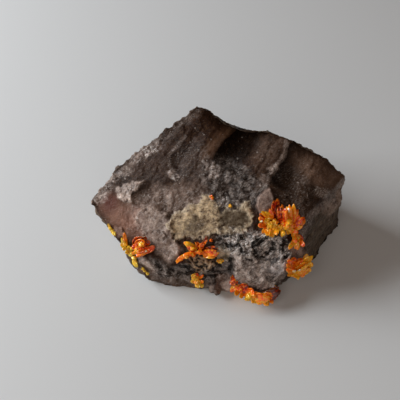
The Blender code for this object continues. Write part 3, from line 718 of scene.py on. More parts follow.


# Orpiment. Plates are thin crystals that grow along a path of picture places: each entry is the path,
# width in pixels, how far the tip stands out in millimetres, how far the plate is turned on edge in
# degrees, and tone from 0 (deep red) through orange and gold to 1 (olive yellow), or over 1.2 for a plate
# that carries a painted white highlight. Lumps are knots of fine crystals: place, radius in pixels, how far
# they stand out in millimetres, tone. grain is how much painted yellow highlight small crystals carry on
# the plates, and a chunky group has thicker crystals in its knots.
groups = {
    "orpiment_rosette": {
        "grain": 0.60, "chunky": False,
        "plates": [
            ([(274.1, 221.0), (275.0, 210.0), (275.8, 198.8)], 7.6, 1.6, 20, 0.15),
            ([(272.2, 221.5), (271.4, 215.0), (270.4, 209.0)], 4.6, 1.9, -15, 0.30),
            ([(278.4, 222.0), (278.2, 212.0), (277.6, 204.5)], 5.2, 1.3, 25, 0.07),
            ([(281.4, 224.0), (281.2, 214.0), (280.6, 206.0)], 7.8, 1.8, 8, 0.10),
            ([(284.4, 224.5), (285.0, 216.0), (284.8, 209.0)], 5.4, 2.3, -25, 0.21),
            ([(289.6, 224.0), (289.0, 214.0), (288.6, 205.2)], 6.0, 2.4, -30, 0.46),
            # the next two plates carry painted white highlights
            ([(289.4, 217.0), (289.0, 212.0), (288.8, 207.6)], 1.6, 3.0, -20, 1.45),
            ([(259.6, 222.4), (261.0, 221.6), (262.4, 221.0)], 2.0, 2.4, 0, 1.50),
            ([(291.6, 224.5), (293.0, 214.0), (294.2, 204.9)], 5.4, 2.1, -20, 0.48),
            ([(287.2, 225.0), (286.4, 218.0), (286.2, 211.0)], 3.6, 2.7, 20, 0.44),
            ([(293.2, 225.0), (295.6, 217.0), (297.4, 209.4)], 4.2, 1.6, 10, 0.34),
            ([(292.6, 227.4), (298.0, 221.0), (302.6, 216.0)], 7.2, 1.4, -15, 0.30),
            ([(294.1, 229.0), (299.6, 224.0), (304.6, 219.2)], 6.0, 0.9, 15, 0.34),
            ([(292.7, 230.0), (298.0, 228.0), (302.4, 225.4)], 4.2, 1.1, -10, 0.48),
            ([(289.6, 229.0), (294.0, 231.0), (298.6, 232.0)], 4.4, 0.8, 0, 0.40),
            ([(268.4, 219.0), (264.0, 216.0), (259.6, 213.8)], 5.0, 1.3, 20, 0.21),
            ([(267.2, 222.0), (262.6, 220.0), (258.4, 217.6)], 4.6, 1.9, -20, 0.34),
            ([(267.4, 224.4), (262.4, 225.4), (258.2, 225.6)], 5.2, 1.6, 15, 0.36),
            ([(268.4, 218.6), (265.0, 214.6), (262.0, 211.6)], 4.0, 1.8, 30, 0.80),
            ([(270.4, 218.0), (268.0, 214.0), (266.6, 211.2)], 4.0, 2.4, -20, 0.74),
            ([(270.0, 226.0), (268.8, 231.0), (268.4, 236.0)], 6.4, 1.0, 10, 0.66),
            ([(273.4, 227.0), (272.6, 232.0), (271.2, 237.6)], 5.6, 1.3, -15, 0.74),
            ([(275.8, 226.6), (276.4, 231.0), (276.6, 234.8)], 5.0, 1.5, 20, 0.62),
            ([(268.0, 226.0), (264.6, 230.0), (262.8, 233.6)], 4.4, 0.7, 0, 0.52),
            ([(281.6, 228.4), (282.2, 232.6), (282.6, 236.8)], 4.0, 0.8, 10, 0.78),
            ([(285.4, 228.0), (287.0, 232.0), (288.0, 234.6)], 4.4, 0.9, -20, 0.66),
            ([(292.4, 232.0), (294.4, 238.0), (295.6, 243.0)], 4.6, 1.2, 10, 0.44),
            ([(295.8, 236.0), (293.0, 243.0), (288.4, 248.8)], 5.0, 0.9, -10, 0.58),
            ([(297.4, 237.0), (301.0, 242.0), (304.4, 246.6)], 5.0, 0.7, 25, 0.26),
            ([(294.6, 234.0), (299.0, 236.0), (303.4, 239.0)], 4.0, 0.6, 0, 0.19),
            ([(297.0, 239.0), (297.4, 244.0), (296.4, 249.4)], 5.6, 1.0, 0, 0.50),
        ],
        "lumps": [
            (266.4, 221.4, 4.2, 1.3, 0.72), (269.4, 216.6, 3.2, 1.6, 0.78), (270.4, 225.6, 4.6, 1.5, 0.74),
            (274.6, 222.8, 4.0, 1.3, 0.62), (275.6, 228.8, 4.2, 1.2, 0.70), (268.6, 231.4, 3.6, 0.9, 0.66),
            (273.4, 233.2, 3.0, 0.9, 0.74), (280.2, 228.0, 3.8, 0.9, 0.72), (285.6, 227.6, 4.0, 1.0, 0.70),
            (289.4, 221.6, 3.2, 1.8, 0.66), (284.0, 224.0, 4.0, 1.0, 0.30),
            (287.6, 226.0, 3.4, 1.3, 0.56), (291.8, 225.6, 3.6, 1.1, 0.46),
            (296.4, 236.4, 4.4, 0.8, 0.50), (299.0, 241.0, 4.6, 0.8, 0.44),
            (290.2, 230.4, 3.6, 0.8, 0.60), (294.0, 235.4, 3.2, 0.7, 0.56),
            (296.6, 242.2, 4.0, 1.1, 0.64), (301.0, 243.4, 3.2, 0.6, 0.40), (283.4, 233.4, 2.4, 0.7, 0.76),
        ],
    },
    "orpiment_right_cluster": {
        "grain": 0.35, "chunky": True,
        "plates": [
            ([(299.0, 268.0), (292.6, 267.0), (286.6, 265.4)], 6.4, 1.2, 20, 0.42),
            ([(298.6, 266.6), (293.4, 263.4), (288.4, 260.4)], 6.0, 1.0, -20, 0.36),
            ([(299.2, 265.6), (295.6, 261.4), (292.0, 258.0)], 5.4, 0.6, 10, 0.32),
            ([(301.0, 265.0), (300.6, 261.0), (299.4, 257.6)], 6.0, 0.5, 30, 0.34),
            ([(302.8, 265.0), (305.2, 259.0), (307.0, 253.8)], 5.4, 0.5, -15, 0.72),
            ([(304.0, 266.0), (308.4, 260.6), (312.0, 256.0)], 5.4, 0.7, 20, 0.72),
            ([(304.0, 267.4), (309.0, 265.0), (312.8, 262.8)], 6.2, 1.0, -10, 0.72),
            ([(303.4, 269.2), (308.0, 269.6), (311.2, 269.0)], 5.6, 1.0, 15, 0.72),
            ([(302.4, 270.4), (305.4, 272.4), (307.4, 273.8)], 5.2, 0.9, -10, 0.72),
            ([(301.4, 271.0), (302.6, 274.4), (303.2, 277.6)], 4.4, 0.4, 10, 0.44),
            ([(299.4, 271.4), (298.0, 275.6), (296.6, 279.0)], 5.6, 0.9, -15, 0.72),
            ([(298.0, 271.4), (295.0, 275.0), (292.4, 276.8)], 5.6, 1.2, 10, 0.62),
            ([(297.4, 270.6), (292.0, 273.4), (287.6, 275.0)], 5.2, 1.0, -20, 0.58),
            ([(297.4, 269.4), (291.4, 270.6), (286.0, 270.4)], 5.6, 1.5, 15, 0.50),
            ([(288.6, 271.0), (295.6, 265.2), (302.6, 259.8)], 4.4, 1.8, 35, 0.40),
            ([(288.8, 274.0), (296.8, 268.2), (306.0, 261.6)], 4.4, 2.2, 35, 0.56),
            ([(291.4, 276.4), (299.0, 271.0), (308.6, 264.8)], 4.4, 2.1, 35, 0.66),
            ([(295.6, 277.4), (302.4, 273.0), (310.4, 267.8)], 4.2, 1.6, 30, 0.52),
            ([(300.4, 264.6), (304.8, 260.0), (309.6, 256.4)], 4.0, 1.8, 40, 0.72),
            # these two plates carry painted white highlights
            ([(290.4, 272.4), (292.8, 271.4), (295.4, 270.4)], 2.6, 2.5, 10, 1.70),
            ([(297.2, 271.2), (298.8, 270.4), (300.4, 269.6)], 2.2, 2.7, 10, 1.70),
        ],
        "lumps": [
            (299.6, 267.6, 5.0, 1.3, 0.66), (306.4, 264.6, 4.0, 1.2, 0.72), (308.0, 258.6, 3.4, 0.6, 0.72),
            (294.2, 269.0, 4.0, 1.1, 0.52), (300.6, 272.2, 3.8, 1.1, 0.62), (294.0, 263.4, 3.2, 0.9, 0.40),
        ],
    },
    "orpiment_front_bar": {
        "grain": 0.45, "chunky": True,
        "plates": [
            ([(231.6, 280.0), (240.0, 286.6), (250.0, 291.6)], 10.0, 0.9, 10, 0.16),
            ([(240.0, 288.4), (250.0, 294.2), (260.0, 298.0), (270.0, 299.6)], 10.5, 0.9, 0, 0.46),
            ([(262.0, 296.6), (270.0, 294.6), (279.0, 290.6)], 10.5, 0.3, 0, -0.16),
            ([(236.6, 282.6), (233.6, 279.0), (231.8, 275.4)], 5.6, 0.6, 20, 0.10),
            ([(236.6, 284.0), (232.4, 283.4), (229.8, 282.2)], 5.4, 0.8, 0, 0.14),
            ([(236.4, 287.0), (232.6, 289.4), (230.0, 291.0)], 5.2, 0.8, -10, 0.34),
            ([(239.6, 289.0), (237.0, 292.4), (235.0, 294.6)], 4.8, 0.8, 10, 0.62),
            ([(243.6, 291.6), (241.6, 295.0), (240.0, 297.4)], 4.8, 0.9, -10, 0.70),
            ([(248.8, 295.0), (247.4, 298.6), (246.2, 301.0)], 5.2, 0.9, 10, 0.78),
            ([(254.4, 297.6), (253.6, 301.0), (252.8, 303.2)], 5.0, 0.9, 0, 0.66),
            ([(260.4, 299.4), (259.6, 302.4), (258.8, 304.8)], 5.0, 0.9, 10, 0.60),
            ([(266.0, 299.6), (266.4, 303.4), (266.2, 306.4)], 5.6, 1.0, 0, 0.52),
            ([(270.0, 297.6), (271.0, 300.8), (271.4, 303.4)], 5.0, 0.6, 10, 0.34),
            ([(271.0, 294.6), (274.4, 297.0), (276.0, 298.2)], 5.4, 0.3, 0, -0.12),
            ([(271.6, 292.0), (277.0, 292.2), (280.6, 291.0)], 6.2, 0.2, 20, -0.18),
            ([(271.4, 290.2), (275.6, 288.0), (278.2, 286.6)], 5.6, 0.1, -10, -0.18),
            ([(240.0, 285.6), (243.6, 284.6), (247.4, 285.0)], 4.4, 0.8, 40, 0.16),
            ([(246.0, 289.4), (251.0, 289.4), (254.6, 291.4)], 4.6, 0.9, 45, 0.28),
            ([(254.0, 294.0), (259.0, 294.2), (262.8, 295.4)], 4.6, 1.1, 45, 0.36),
            ([(262.0, 296.2), (266.0, 293.8), (270.0, 292.4)], 5.0, 1.2, 50, 0.44),
        ],
        "lumps": [
            (234.4, 281.0, 4.6, 0.9, 0.14), (235.0, 287.6, 4.4, 0.9, 0.40), (240.6, 287.6, 4.6, 1.0, 0.28),
            (242.4, 291.8, 4.0, 1.0, 0.66), (247.6, 291.2, 5.0, 1.2, 0.76), (249.6, 296.8, 4.2, 1.0, 0.86),
            (254.8, 295.2, 4.6, 1.2, 0.42), (257.2, 300.0, 4.0, 0.9, 0.66), (261.8, 297.0, 4.8, 1.2, 0.44),
            (265.6, 301.0, 4.6, 1.0, 0.56), (268.6, 296.0, 4.8, 1.1, 0.38), (273.8, 292.6, 4.6, 0.4, -0.16),
        ],
    },
    "orpiment_star": {
        "grain": 0.90, "chunky": False,
        "plates": [
            ([(200.0, 251.6), (189.0, 254.4), (181.4, 257.6), (175.6, 263.0)], 4.6, 0.7, 10, 0.39),
            ([(198.6, 250.4), (190.0, 253.0), (183.0, 255.2)], 4.0, 1.0, 40, 0.47),
            ([(199.4, 250.6), (192.6, 247.0), (187.6, 244.4), (183.4, 243.0)], 5.4, 1.3, -10, 0.53),
            ([(198.4, 249.4), (192.0, 245.0), (186.4, 242.4)], 4.2, 1.8, 30, 0.73),
            ([(197.4, 251.4), (191.6, 249.6), (187.6, 248.4)], 4.2, 0.8, 20, 0.17),
            ([(200.6, 249.8), (203.2, 244.4), (205.6, 240.4), (207.6, 236.8)], 4.4, 1.6, -25, 0.03),
            ([(200.6, 250.0), (198.4, 245.4), (196.0, 242.4)], 4.6, 1.2, 15, 0.11),
            ([(201.2, 250.6), (201.6, 246.0), (202.4, 242.6)], 5.0, 1.7, 20, 0.33),
            ([(199.6, 252.6), (207.4, 253.4), (213.0, 253.8), (219.6, 253.0)], 4.6, 1.2, 5, 0.41),
            ([(201.6, 254.8), (208.0, 256.2), (215.0, 256.8)], 4.6, 1.4, -15, 0.51),
            ([(202.6, 251.4), (209.0, 251.2), (216.4, 251.4)], 4.2, 1.5, 20, 0.31),
            ([(202.4, 250.2), (208.0, 248.2), (212.6, 247.8), (217.2, 248.8)], 4.4, 0.9, 15, -0.03),
        ],
        "lumps": [
            (199.4, 251.8, 3.2, 1.2, 0.39), (205.4, 253.6, 3.4, 1.1, 0.39),
            (211.0, 254.2, 3.4, 1.1, 0.43), (215.4, 254.2, 2.6, 1.0, 0.43),
            (193.0, 254.4, 2.8, 0.9, 0.43), (186.6, 256.8, 2.4, 0.8, 0.41), (181.0, 259.2, 2.0, 0.7, 0.39),
            (193.0, 248.2, 2.6, 1.2, 0.49), (201.4, 246.2, 2.6, 1.1, 0.21),
        ],
    },
    "orpiment_left_bud": {
        "grain": 0.15, "chunky": True,
        "plates": [
            ([(133.6, 246.0), (133.8, 240.6), (138.0, 237.4), (143.6, 238.2), (146.8, 242.0)],
             5.0, 1.5, 75, 0.10),
            ([(135.6, 247.0), (136.0, 242.2), (139.6, 239.8), (143.8, 241.2), (145.2, 244.6)],
             4.6, 2.2, 75, 0.28),
            ([(138.0, 247.4), (138.2, 243.8), (140.8, 242.2), (143.4, 243.8), (143.4, 246.6)],
             4.2, 2.8, 75, 0.50),
            ([(134.4, 249.6), (138.2, 252.6), (143.0, 252.0), (147.4, 248.6)], 4.6, 1.8, 70, 0.22),
            ([(135.2, 252.4), (139.6, 255.4), (144.4, 253.8), (149.0, 250.4)], 4.6, 1.2, 65, 0.40),
            ([(141.0, 250.4), (148.4, 248.6), (155.4, 246.4)], 5.0, 1.3, 20, 0.18),
            ([(141.4, 253.0), (148.0, 251.2), (154.6, 248.6)], 4.6, 1.2, -25, 0.30),
            ([(140.0, 247.0), (136.4, 240.4), (137.4, 236.4)], 5.0, 0.8, 10, 0.08),
            ([(142.0, 246.0), (143.8, 240.4), (146.4, 236.8)], 5.0, 0.8, 10, 0.10),
            # a plate that carries a painted white highlight
            ([(142.4, 252.6), (144.6, 251.4), (147.0, 250.4)], 1.8, 2.0, 0, 1.5),
            ([(143.0, 247.0), (147.4, 243.2), (149.8, 241.6)], 5.0, 1.0, 0, 0.08),
            ([(138.0, 249.0), (134.4, 247.6), (132.4, 244.6)], 5.0, 0.9, 0, 0.30),
            ([(138.0, 251.0), (134.4, 252.4), (132.6, 251.4)], 4.6, 0.8, 0, 0.52),
            ([(139.6, 252.0), (138.4, 255.4), (138.8, 257.4)], 4.6, 0.7, 0, 0.34),
        ],
        "lumps": [
            (140.4, 246.4, 7.4, 1.5, 0.30), (141.0, 244.6, 2.4, 2.6, 0.84), (137.6, 250.6, 3.8, 1.1, 0.62),
            (145.4, 249.2, 4.0, 1.0, 0.20),
        ],
    },
    "orpiment_left_vein": {
        "grain": 0.30, "chunky": True,
        "plates": [
            ([(126.6, 245.4), (125.4, 239.0), (124.2, 233.0)], 4.0, 0.8, 15, 0.52),
            ([(124.4, 246.0), (123.0, 241.6), (122.4, 238.0)], 3.6, 0.7, -10, 0.92),
            ([(125.2, 248.0), (122.6, 246.0), (121.4, 242.6)], 3.6, 0.6, 10, 1.04),
            ([(128.4, 250.4), (125.4, 248.6), (122.6, 249.6)], 3.8, 0.8, -20, 1.04),
            ([(128.6, 250.8), (128.6, 247.6), (129.8, 245.8)], 3.2, 0.9, 20, 0.98),
            ([(130.4, 252.0), (131.4, 249.2), (132.8, 247.2)], 3.2, 0.9, 0, 0.98),
            ([(130.0, 252.6), (127.6, 252.4), (125.4, 251.6)], 3.8, 0.8, 10, 1.05),
            ([(132.4, 255.4), (130.4, 254.2), (128.4, 254.8)], 3.6, 0.8, 0, 1.02),
            ([(134.0, 257.6), (132.4, 257.2), (130.8, 257.4)], 3.2, 0.7, 0, 1.05),
            ([(134.6, 258.6), (135.0, 263.0), (137.4, 267.4)], 4.4, 0.8, 10, 1.04),
            ([(133.8, 258.0), (133.6, 262.0), (135.2, 266.0)], 3.2, 0.6, -10, 1.00),
        ],
        "lumps": [
            (125.6, 244.0, 2.6, 0.7, 0.68), (124.8, 247.6, 2.8, 0.8, 1.02), (128.2, 251.0, 3.2, 0.9, 1.04),
            (131.4, 254.0, 2.8, 0.8, 1.00), (134.2, 258.4, 2.6, 0.7, 0.96), (135.2, 262.6, 2.6, 0.6, 1.04),
        ],
    },
    "orpiment_front_knot": {
        "grain": 0.60, "chunky": False,
        "plates": [
            ([(196.4, 279.4), (194.0, 276.4), (191.4, 274.8)], 4.2, 0.8, 0, 0.80),
            ([(197.0, 278.4), (197.0, 275.4), (196.6, 273.0)], 4.0, 0.7, 20, 0.22),
            ([(198.4, 279.0), (201.0, 276.8), (203.6, 276.0)], 3.6, 0.7, -10, 0.34),
            ([(198.8, 281.0), (201.6, 281.6), (204.0, 282.0)], 3.6, 0.6, 10, 0.40),
            ([(199.6, 282.6), (201.8, 285.0), (203.0, 287.6)], 4.2, 0.7, 0, 0.72),
            ([(197.6, 282.6), (197.0, 285.4), (196.4, 287.4)], 4.4, 0.9, 10, 0.90),
            ([(195.6, 281.0), (193.0, 281.6), (191.4, 280.0)], 4.0, 0.9, 0, 0.80),
        ],
        "lumps": [
            (195.2, 278.0, 3.6, 1.0, 0.78), (197.2, 281.6, 3.8, 1.2, 0.62), (199.0, 284.8, 3.4, 1.0, 0.86),
            (194.0, 275.8, 2.4, 0.9, 0.70),
        ],
    },
    "orpiment_grain": {
        "grain": 0.60, "chunky": True,
        "plates": [
            ([(220.2, 261.0), (218.4, 261.0), (216.8, 260.0)], 3.0, 0.5, 0, 0.70),
            ([(220.2, 261.0), (222.2, 260.6), (223.8, 260.0)], 3.0, 0.5, 0, 0.74),
        ],
        "lumps": [(220.2, 261.2, 2.8, 0.6, 0.72)],
    },
    "orpiment_edge_strip": {
        "grain": 0.30, "chunky": True,
        "plates": [
            ([(110.6, 229.0), (109.4, 226.4), (108.2, 223.8)], 2.8, 0.5, 0, 1.0),
            ([(112.4, 231.4), (111.0, 229.2), (110.2, 227.0)], 2.8, 0.5, 0, 0.96),
            ([(112.4, 231.0), (114.2, 233.0), (115.6, 235.0)], 2.8, 0.5, 0, 1.0),
        ],
        "lumps": [
            (110.6, 228.4, 2.2, 0.4, 1.0), (112.6, 231.4, 2.2, 0.4, 0.96), (114.4, 233.6, 2.0, 0.4, 1.0),
        ],
    },
}
# single grains of orpiment too small to be parts of their own
specks = {
    "grain": 0.6, "chunky": True,
    "plates": [],
    "lumps": [
        (211.0, 196.6, 1.2, 0.25, 0.22), (212.4, 198.0, 0.9, 0.25, 0.30), (230.2, 206.0, 1.5, 0.30, 0.74),
        (211.0, 240.6, 0.8, 0.2, 0.24), (142.8, 268.4, 1.4, 0.25, 0.96), (144.6, 270.8, 1.2, 0.25, 0.92),
        (147.6, 273.4, 1.3, 0.25, 0.98),
    ],
}
plate = {
    # its half width along its length
    "outline": [(0.0, 0.72), (0.30, 0.92), (0.55, 1.0), (0.74, 0.97), (0.90, 0.62), (1.0, 0.34)],
    "around": 24,  # points round its section
    "ringEvery": 0.16,  # distance between two sections
    "thickness": 0.24,  # share of its width
    "thinnest": 0.24,  # in millimetres
    "ridges": 0.12,  # depth of the ridges that run along it
    "ridgeWidth": 0.30,
    "bow": 0.07,  # how far its middle stands out, as a share of its length
    "tipWear": 0.10,  # how uneven its end is
    "slant": 0.75,  # how far its end is cut aslant, as a share of its width
    "rootDepth": -0.6,  # where it starts under the stone's skin
    "strayMost": 2.6,  # stone that is further than this from the group's own place isn't what it grows on
    "sharpAngle": 40.0,
}
# Stubby crystals of a knot: their width, and their reach as a share of its radius
stubs = {True: ((0.60, 0.95), (0.80, 0.96)), False: ((0.38, 0.62), (0.82, 1.10))}
goldenTurn = 2.39996  # radians from one stub to the next, so that they point evenly every way
skin = {
    "voxel": 0.075,  # side of one face of the crystals' fine mesh
    "fewestPoints": 60,  # a loose bit of mesh with fewer points is no crystal
    "nearest": 3,  # how many points of the plates give a point of the skin its tone
    "blur": 0.02,  # how softly they do
    "edgeHeight": 0.10,  # an edge that stands out by this much is the palest
    "lowest": 0.05,  # no crystal comes nearer to the table
}


def pointAt(x, y, out):
    # the point seen at a place in the picture, out millimetres nearer to the camera than the target
    shrink = pixel * (view["distance"] - out) / view["distance"]
    half = view["pixels"] / 2
    return target + rightward * (x - half) * shrink + upward * (half - y) * shrink + outward * out


def stoneOut(tree, x, y, usual):
    # how near to the camera the stone is at a place in the picture
    ray = (pointAt(x, y, 0.0) - eye).normalized()
    hit = tree.ray_cast(eye, ray)[0]
    found = (hit - target).dot(outward) if hit else usual
    return found if usual is None or abs(found - usual) < plate["strayMost"] else usual


def alongPath(path, along):
    # the place on a smooth curve through the points of a path, and the way it runs there
    spot = along * (len(path) - 1)
    first = min(int(spot), len(path) - 2)
    h = spot - first
    a, b = path[first], path[first + 1]
    slopeA = (b - path[max(first - 1, 0)]) / 2
    slopeB = (path[min(first + 2, len(path) - 1)] - a) / 2
    place = (
        a * (2 * h**3 - 3 * h**2 + 1) + slopeA * (h**3 - 2 * h**2 + h)
        + b * (3 * h**2 - 2 * h**3) + slopeB * (h**3 - h**2)
    )
    heading = (
        a * (6 * h**2 - 6 * h) + slopeA * (3 * h**2 - 4 * h + 1)
        + b * (6 * h - 6 * h**2) + slopeB * (3 * h**2 - 2 * h)
    )
    return place, heading.normalized()


def addPlate(bm, layers, path, width, turn, tone, grain, draw):
    # a ridged plate along a path of points, fused at its root and worn uneven at its tip
    length = sum((b - a).length for a, b in zip(path, path[1:]))
    seed = Vector((draw.uniform(-50, 50), draw.uniform(-50, 50), draw.uniform(-50, 50)))
    slant = draw.uniform(-plate["slant"], plate["slant"])
    halfWidth = width / 2
    halfDepth = max(halfWidth * plate["thickness"], plate["thinnest"] / 2)
    rings = []
    count = max(len(plate["outline"]), int(length / plate["ringEvery"]))
    for step in range(count + 1):
        along = step / count
        share = np.interp(along, *zip(*plate["outline"]))
        centre, heading = alongPath(path, along)
        across = heading.cross(outward).normalized()
        through = across.cross(heading).normalized()
        if through.dot(outward) < 0:
            across, through = -across, -through
        spin = Matrix.Rotation(math.radians(turn), 3, heading)
        across, through = spin @ across, spin @ through
        centre = centre + outward * plate["bow"] * length * 4.0 * along * (1.0 - along)
        ridgeDepth = plate["ridges"] * min(1.0, 3.0 * along + 0.3)
        wear = plate["tipWear"] * length * along**4
        ring = []
        for k in range(plate["around"]):
            angle = 2.0 * math.pi * k / plate["around"]
            c, s = math.cos(angle), math.sin(angle)
            # a section between a box and an oval
            side = math.copysign(abs(c) ** 0.85, c) * halfWidth * share
            ridge = noise.noise(seed + Vector((side / plate["ridgeWidth"], along * 1.6, 0.0))) * ridgeDepth
            deep = math.copysign(abs(s) ** 0.4, s) * halfDepth * (0.6 + 0.4 * share) + s * ridge
            worn = noise.noise(seed + Vector((side / 0.45, 7.0, 0.0))) * wear + slant * side * along**3
            vert = bm.verts.new(centre + across * side + through * deep + heading * worn)
            vert[layers["grown"]] = along
            vert[layers["grain"]] = grain
            vert[layers["tone"]] = tone + 0.16 * noise.noise(seed + Vector((side / 0.5, along * 2.0, 3.0)))
            ring.append(vert)
        rings.append(ring)
    for lower, upper in zip(rings, rings[1:]):
        for k in range(plate["around"]):
            after = (k + 1) % plate["around"]
            bm.faces.new((lower[k], lower[after], upper[after], upper[k]))
    bm.faces.new(rings[0][::-1])
    bm.faces.new(rings[-1])


def addBundle(bm, layers, path, width, turn, tone, grain, draw):
    # a broad plate of a grainy group is two laths side by side that fan out a little and end unevenly
    if width <= 1.2 or grain <= 0.5:
        addPlate(bm, layers, path, width, turn, tone, grain, draw)
        return
    heading = (path[-1] - path[0]).normalized()
    across = Matrix.Rotation(math.radians(turn), 3, heading) @ heading.cross(outward).normalized()
    for place in (-0.25, 0.25):
        reach = draw.uniform(0.86, 1.03) if place < 0.0 else 1.0
        points = []
        for step, point in enumerate(path):
            share = step / (len(path) - 1)
            fanned = across * place * width * (0.60 + 0.35 * share) + outward * draw.uniform(-0.08, 0.08)
            points.append(path[0] + (point - path[0]) * (1.0 + (reach - 1.0) * share) + fanned)
        lathTurn = turn + draw.uniform(-16, 16)
        addPlate(bm, layers, points, width * 0.75, lathTurn, tone + draw.uniform(-0.07, 0.07), grain, draw)


def addLump(bm, layers, centre, radius, tone, chunky, draw):
    # a knot of short stubby crystals that point every way out of one core
    breadth, reach = stubs[chunky]
    placed = Matrix.Translation(centre)
    core = bmesh.ops.create_icosphere(bm, subdivisions=3, radius=radius * 0.72, matrix=placed)
    for vert in core["verts"]:
        vert[layers["grown"]] = 0.3
        vert[layers["tone"]] = tone
        vert[layers["grain"]] = 1.0
    count = int(16 + 10 * radius)
    for step in range(count):
        out = 1.0 - 1.35 * (step + 0.5) / count
        turn = step * goldenTurn + draw.uniform(-0.3, 0.3)
        flat = math.sqrt(max(0.0, 1.0 - out * out))
        heading = rightward * math.cos(turn) * flat + upward * math.sin(turn) * flat + outward * out
        path = [centre + heading * radius * 0.25, centre + heading * radius * draw.uniform(*reach)]
        width = draw.uniform(*breadth)
        spin = draw.uniform(0, 180)
        addPlate(bm, layers, path, width, spin, tone + draw.uniform(-0.08, 0.08), 1.0, draw)


def dropCrumbs(bm):
    # takes away loose bits far smaller than a crystal, left where two plates only just miss each other
    waiting = set(bm.verts)
    crumbs = []
    while waiting:
        first = waiting.pop()
        island, reached = {first}, [first]
        while reached:
            for edge in reached.pop().link_edges:
                for vert in edge.verts:
                    if vert not in island:
                        island.add(vert)
                        reached.append(vert)
        waiting -= island
        if len(island) < skin["fewestPoints"]:
            crumbs.extend(island)
    bmesh.ops.delete(bm, geom=crumbs, context="VERTS")
    bm.verts.index_update()


def fuse(bm, layers):
    # joins all plates and lumps into one skin whose points take the values of the nearest points before
    finder = KDTree(len(bm.verts))
    values = {key: [] for key in layers}
    for index, vert in enumerate(bm.verts):
        finder.insert(vert.co, index)
        for key, layer in layers.items():
            values[key].append(vert[layer])
    finder.balance()
    result = fineMesh(bm, skin["voxel"])
    dropCrumbs(result)
    new = {key: result.verts.layers.float.new(key) for key in (*layers, "edge")}
    edges = edgeValues(result, np.array([vert.co for vert in result.verts]), 6, skin["edgeHeight"])
    for vert in result.verts:
        nearest = [(index, gap + skin["blur"]) for _, index, gap in finder.find_n(vert.co, skin["nearest"])]
        total = sum(1.0 / gap for _, gap in nearest)
        for key, numbers in values.items():
            vert[new[key]] = sum(numbers[index] / gap for index, gap in nearest) / total
        vert[new["edge"]] = edges[vert.index]
    return result


def makeGroup(name, group, tree, usual=None):
    draw = random.Random(name)
    bm = bmesh.new()
    layers = {key: bm.verts.layers.float.new(key) for key in ("grown", "tone", "grain")}
    for path, width, rise, turn, tone in group["plates"]:
        starts = stoneOut(tree, *path[0], usual)
        ends = stoneOut(tree, *path[-1], usual)
        points = []
        for step, (x, y) in enumerate(path):
            share = step / (len(path) - 1)
            ground = starts + (ends - starts) * share
            lifted = plate["rootDepth"] + (rise - plate["rootDepth"]) * math.sin(share * math.pi / 2)
            points.append(pointAt(x, y, ground + lifted))
        addBundle(bm, layers, points, width * pixel, turn, tone, group["grain"], draw)
    for x, y, radius, rise, tone in group["lumps"]:
        centre = pointAt(x, y, stoneOut(tree, x, y, usual) + rise - radius * pixel)
        addLump(bm, layers, centre, radius * pixel, tone, group["chunky"], draw)
    for vert in bm.verts:
        vert.co.z = max(vert.co.z, skin["lowest"])
    bmesh.ops.recalc_face_normals(bm, faces=bm.faces)
    return storeMesh(name + "_crystals", fuse(bm, layers), plate["sharpAngle"])


def toLinear(hexColour):
    channels = [int(hexColour[k:k + 2], 16) / 255 for k in (1, 3, 5)]
    return [c / 12.92 if c <= 0.04045 else ((c + 0.055) / 1.055) ** 2.4 for c in channels] + [1.0]


def addNode(tree, kind, inputs=None, out=0, **settings):
    # one shader node: inputs are numbers, colours or other nodes' outputs for its sockets, settings are its
    # own properties, and what comes back is the output that is asked for
    node = tree.nodes.new("ShaderNode" + kind)
    for key, value in settings.items():
        setattr(node, key, value)
    for key, value in (inputs or {}).items():
        if isinstance(value, bpy.types.NodeSocket):
            tree.links.new(value, node.inputs[key])
        else:
            node.inputs[key].default_value = value
    return node.outputs[out] if node.outputs else node


def newMaterial(name):
    material = bpy.data.materials.new(name)
    material.use_nodes = True
    material.node_tree.nodes.clear()
    return material, material.node_tree


def layCoats(tree, colour, coats):
    # lays coats over a colour one after the other: each is a paint and how much of it covers
    for paint, share in coats:
        colour = addNode(tree, "Mix", {0: share, 6: colour, 7: paint}, 2, data_type="RGBA")
    return colour


def weighted(tree, parts, base=0.0):
    # patterns added up, each with its weight
    for pattern, weight in parts:
        base = addNode(tree, "Math", {0: pattern, 1: weight, 2: base}, operation="MULTIPLY_ADD")
    return base


def together(tree, *patterns):
    # patterns that only show where all of them do
    result = patterns[0]
    for pattern in patterns[1:]:
        result = addNode(tree, "Math", {0: result, 1: pattern}, operation="MULTIPLY")
    return result


def stretch(tree, pattern, low, high, most=1.0, least=0.0):
    # a pattern drawn out, so that it runs from least to most between two of its values
    inputs = {"Value": pattern, "From Min": low, "From Max": high, "To Min": least, "To Max": most}
    return addNode(tree, "MapRange", inputs)


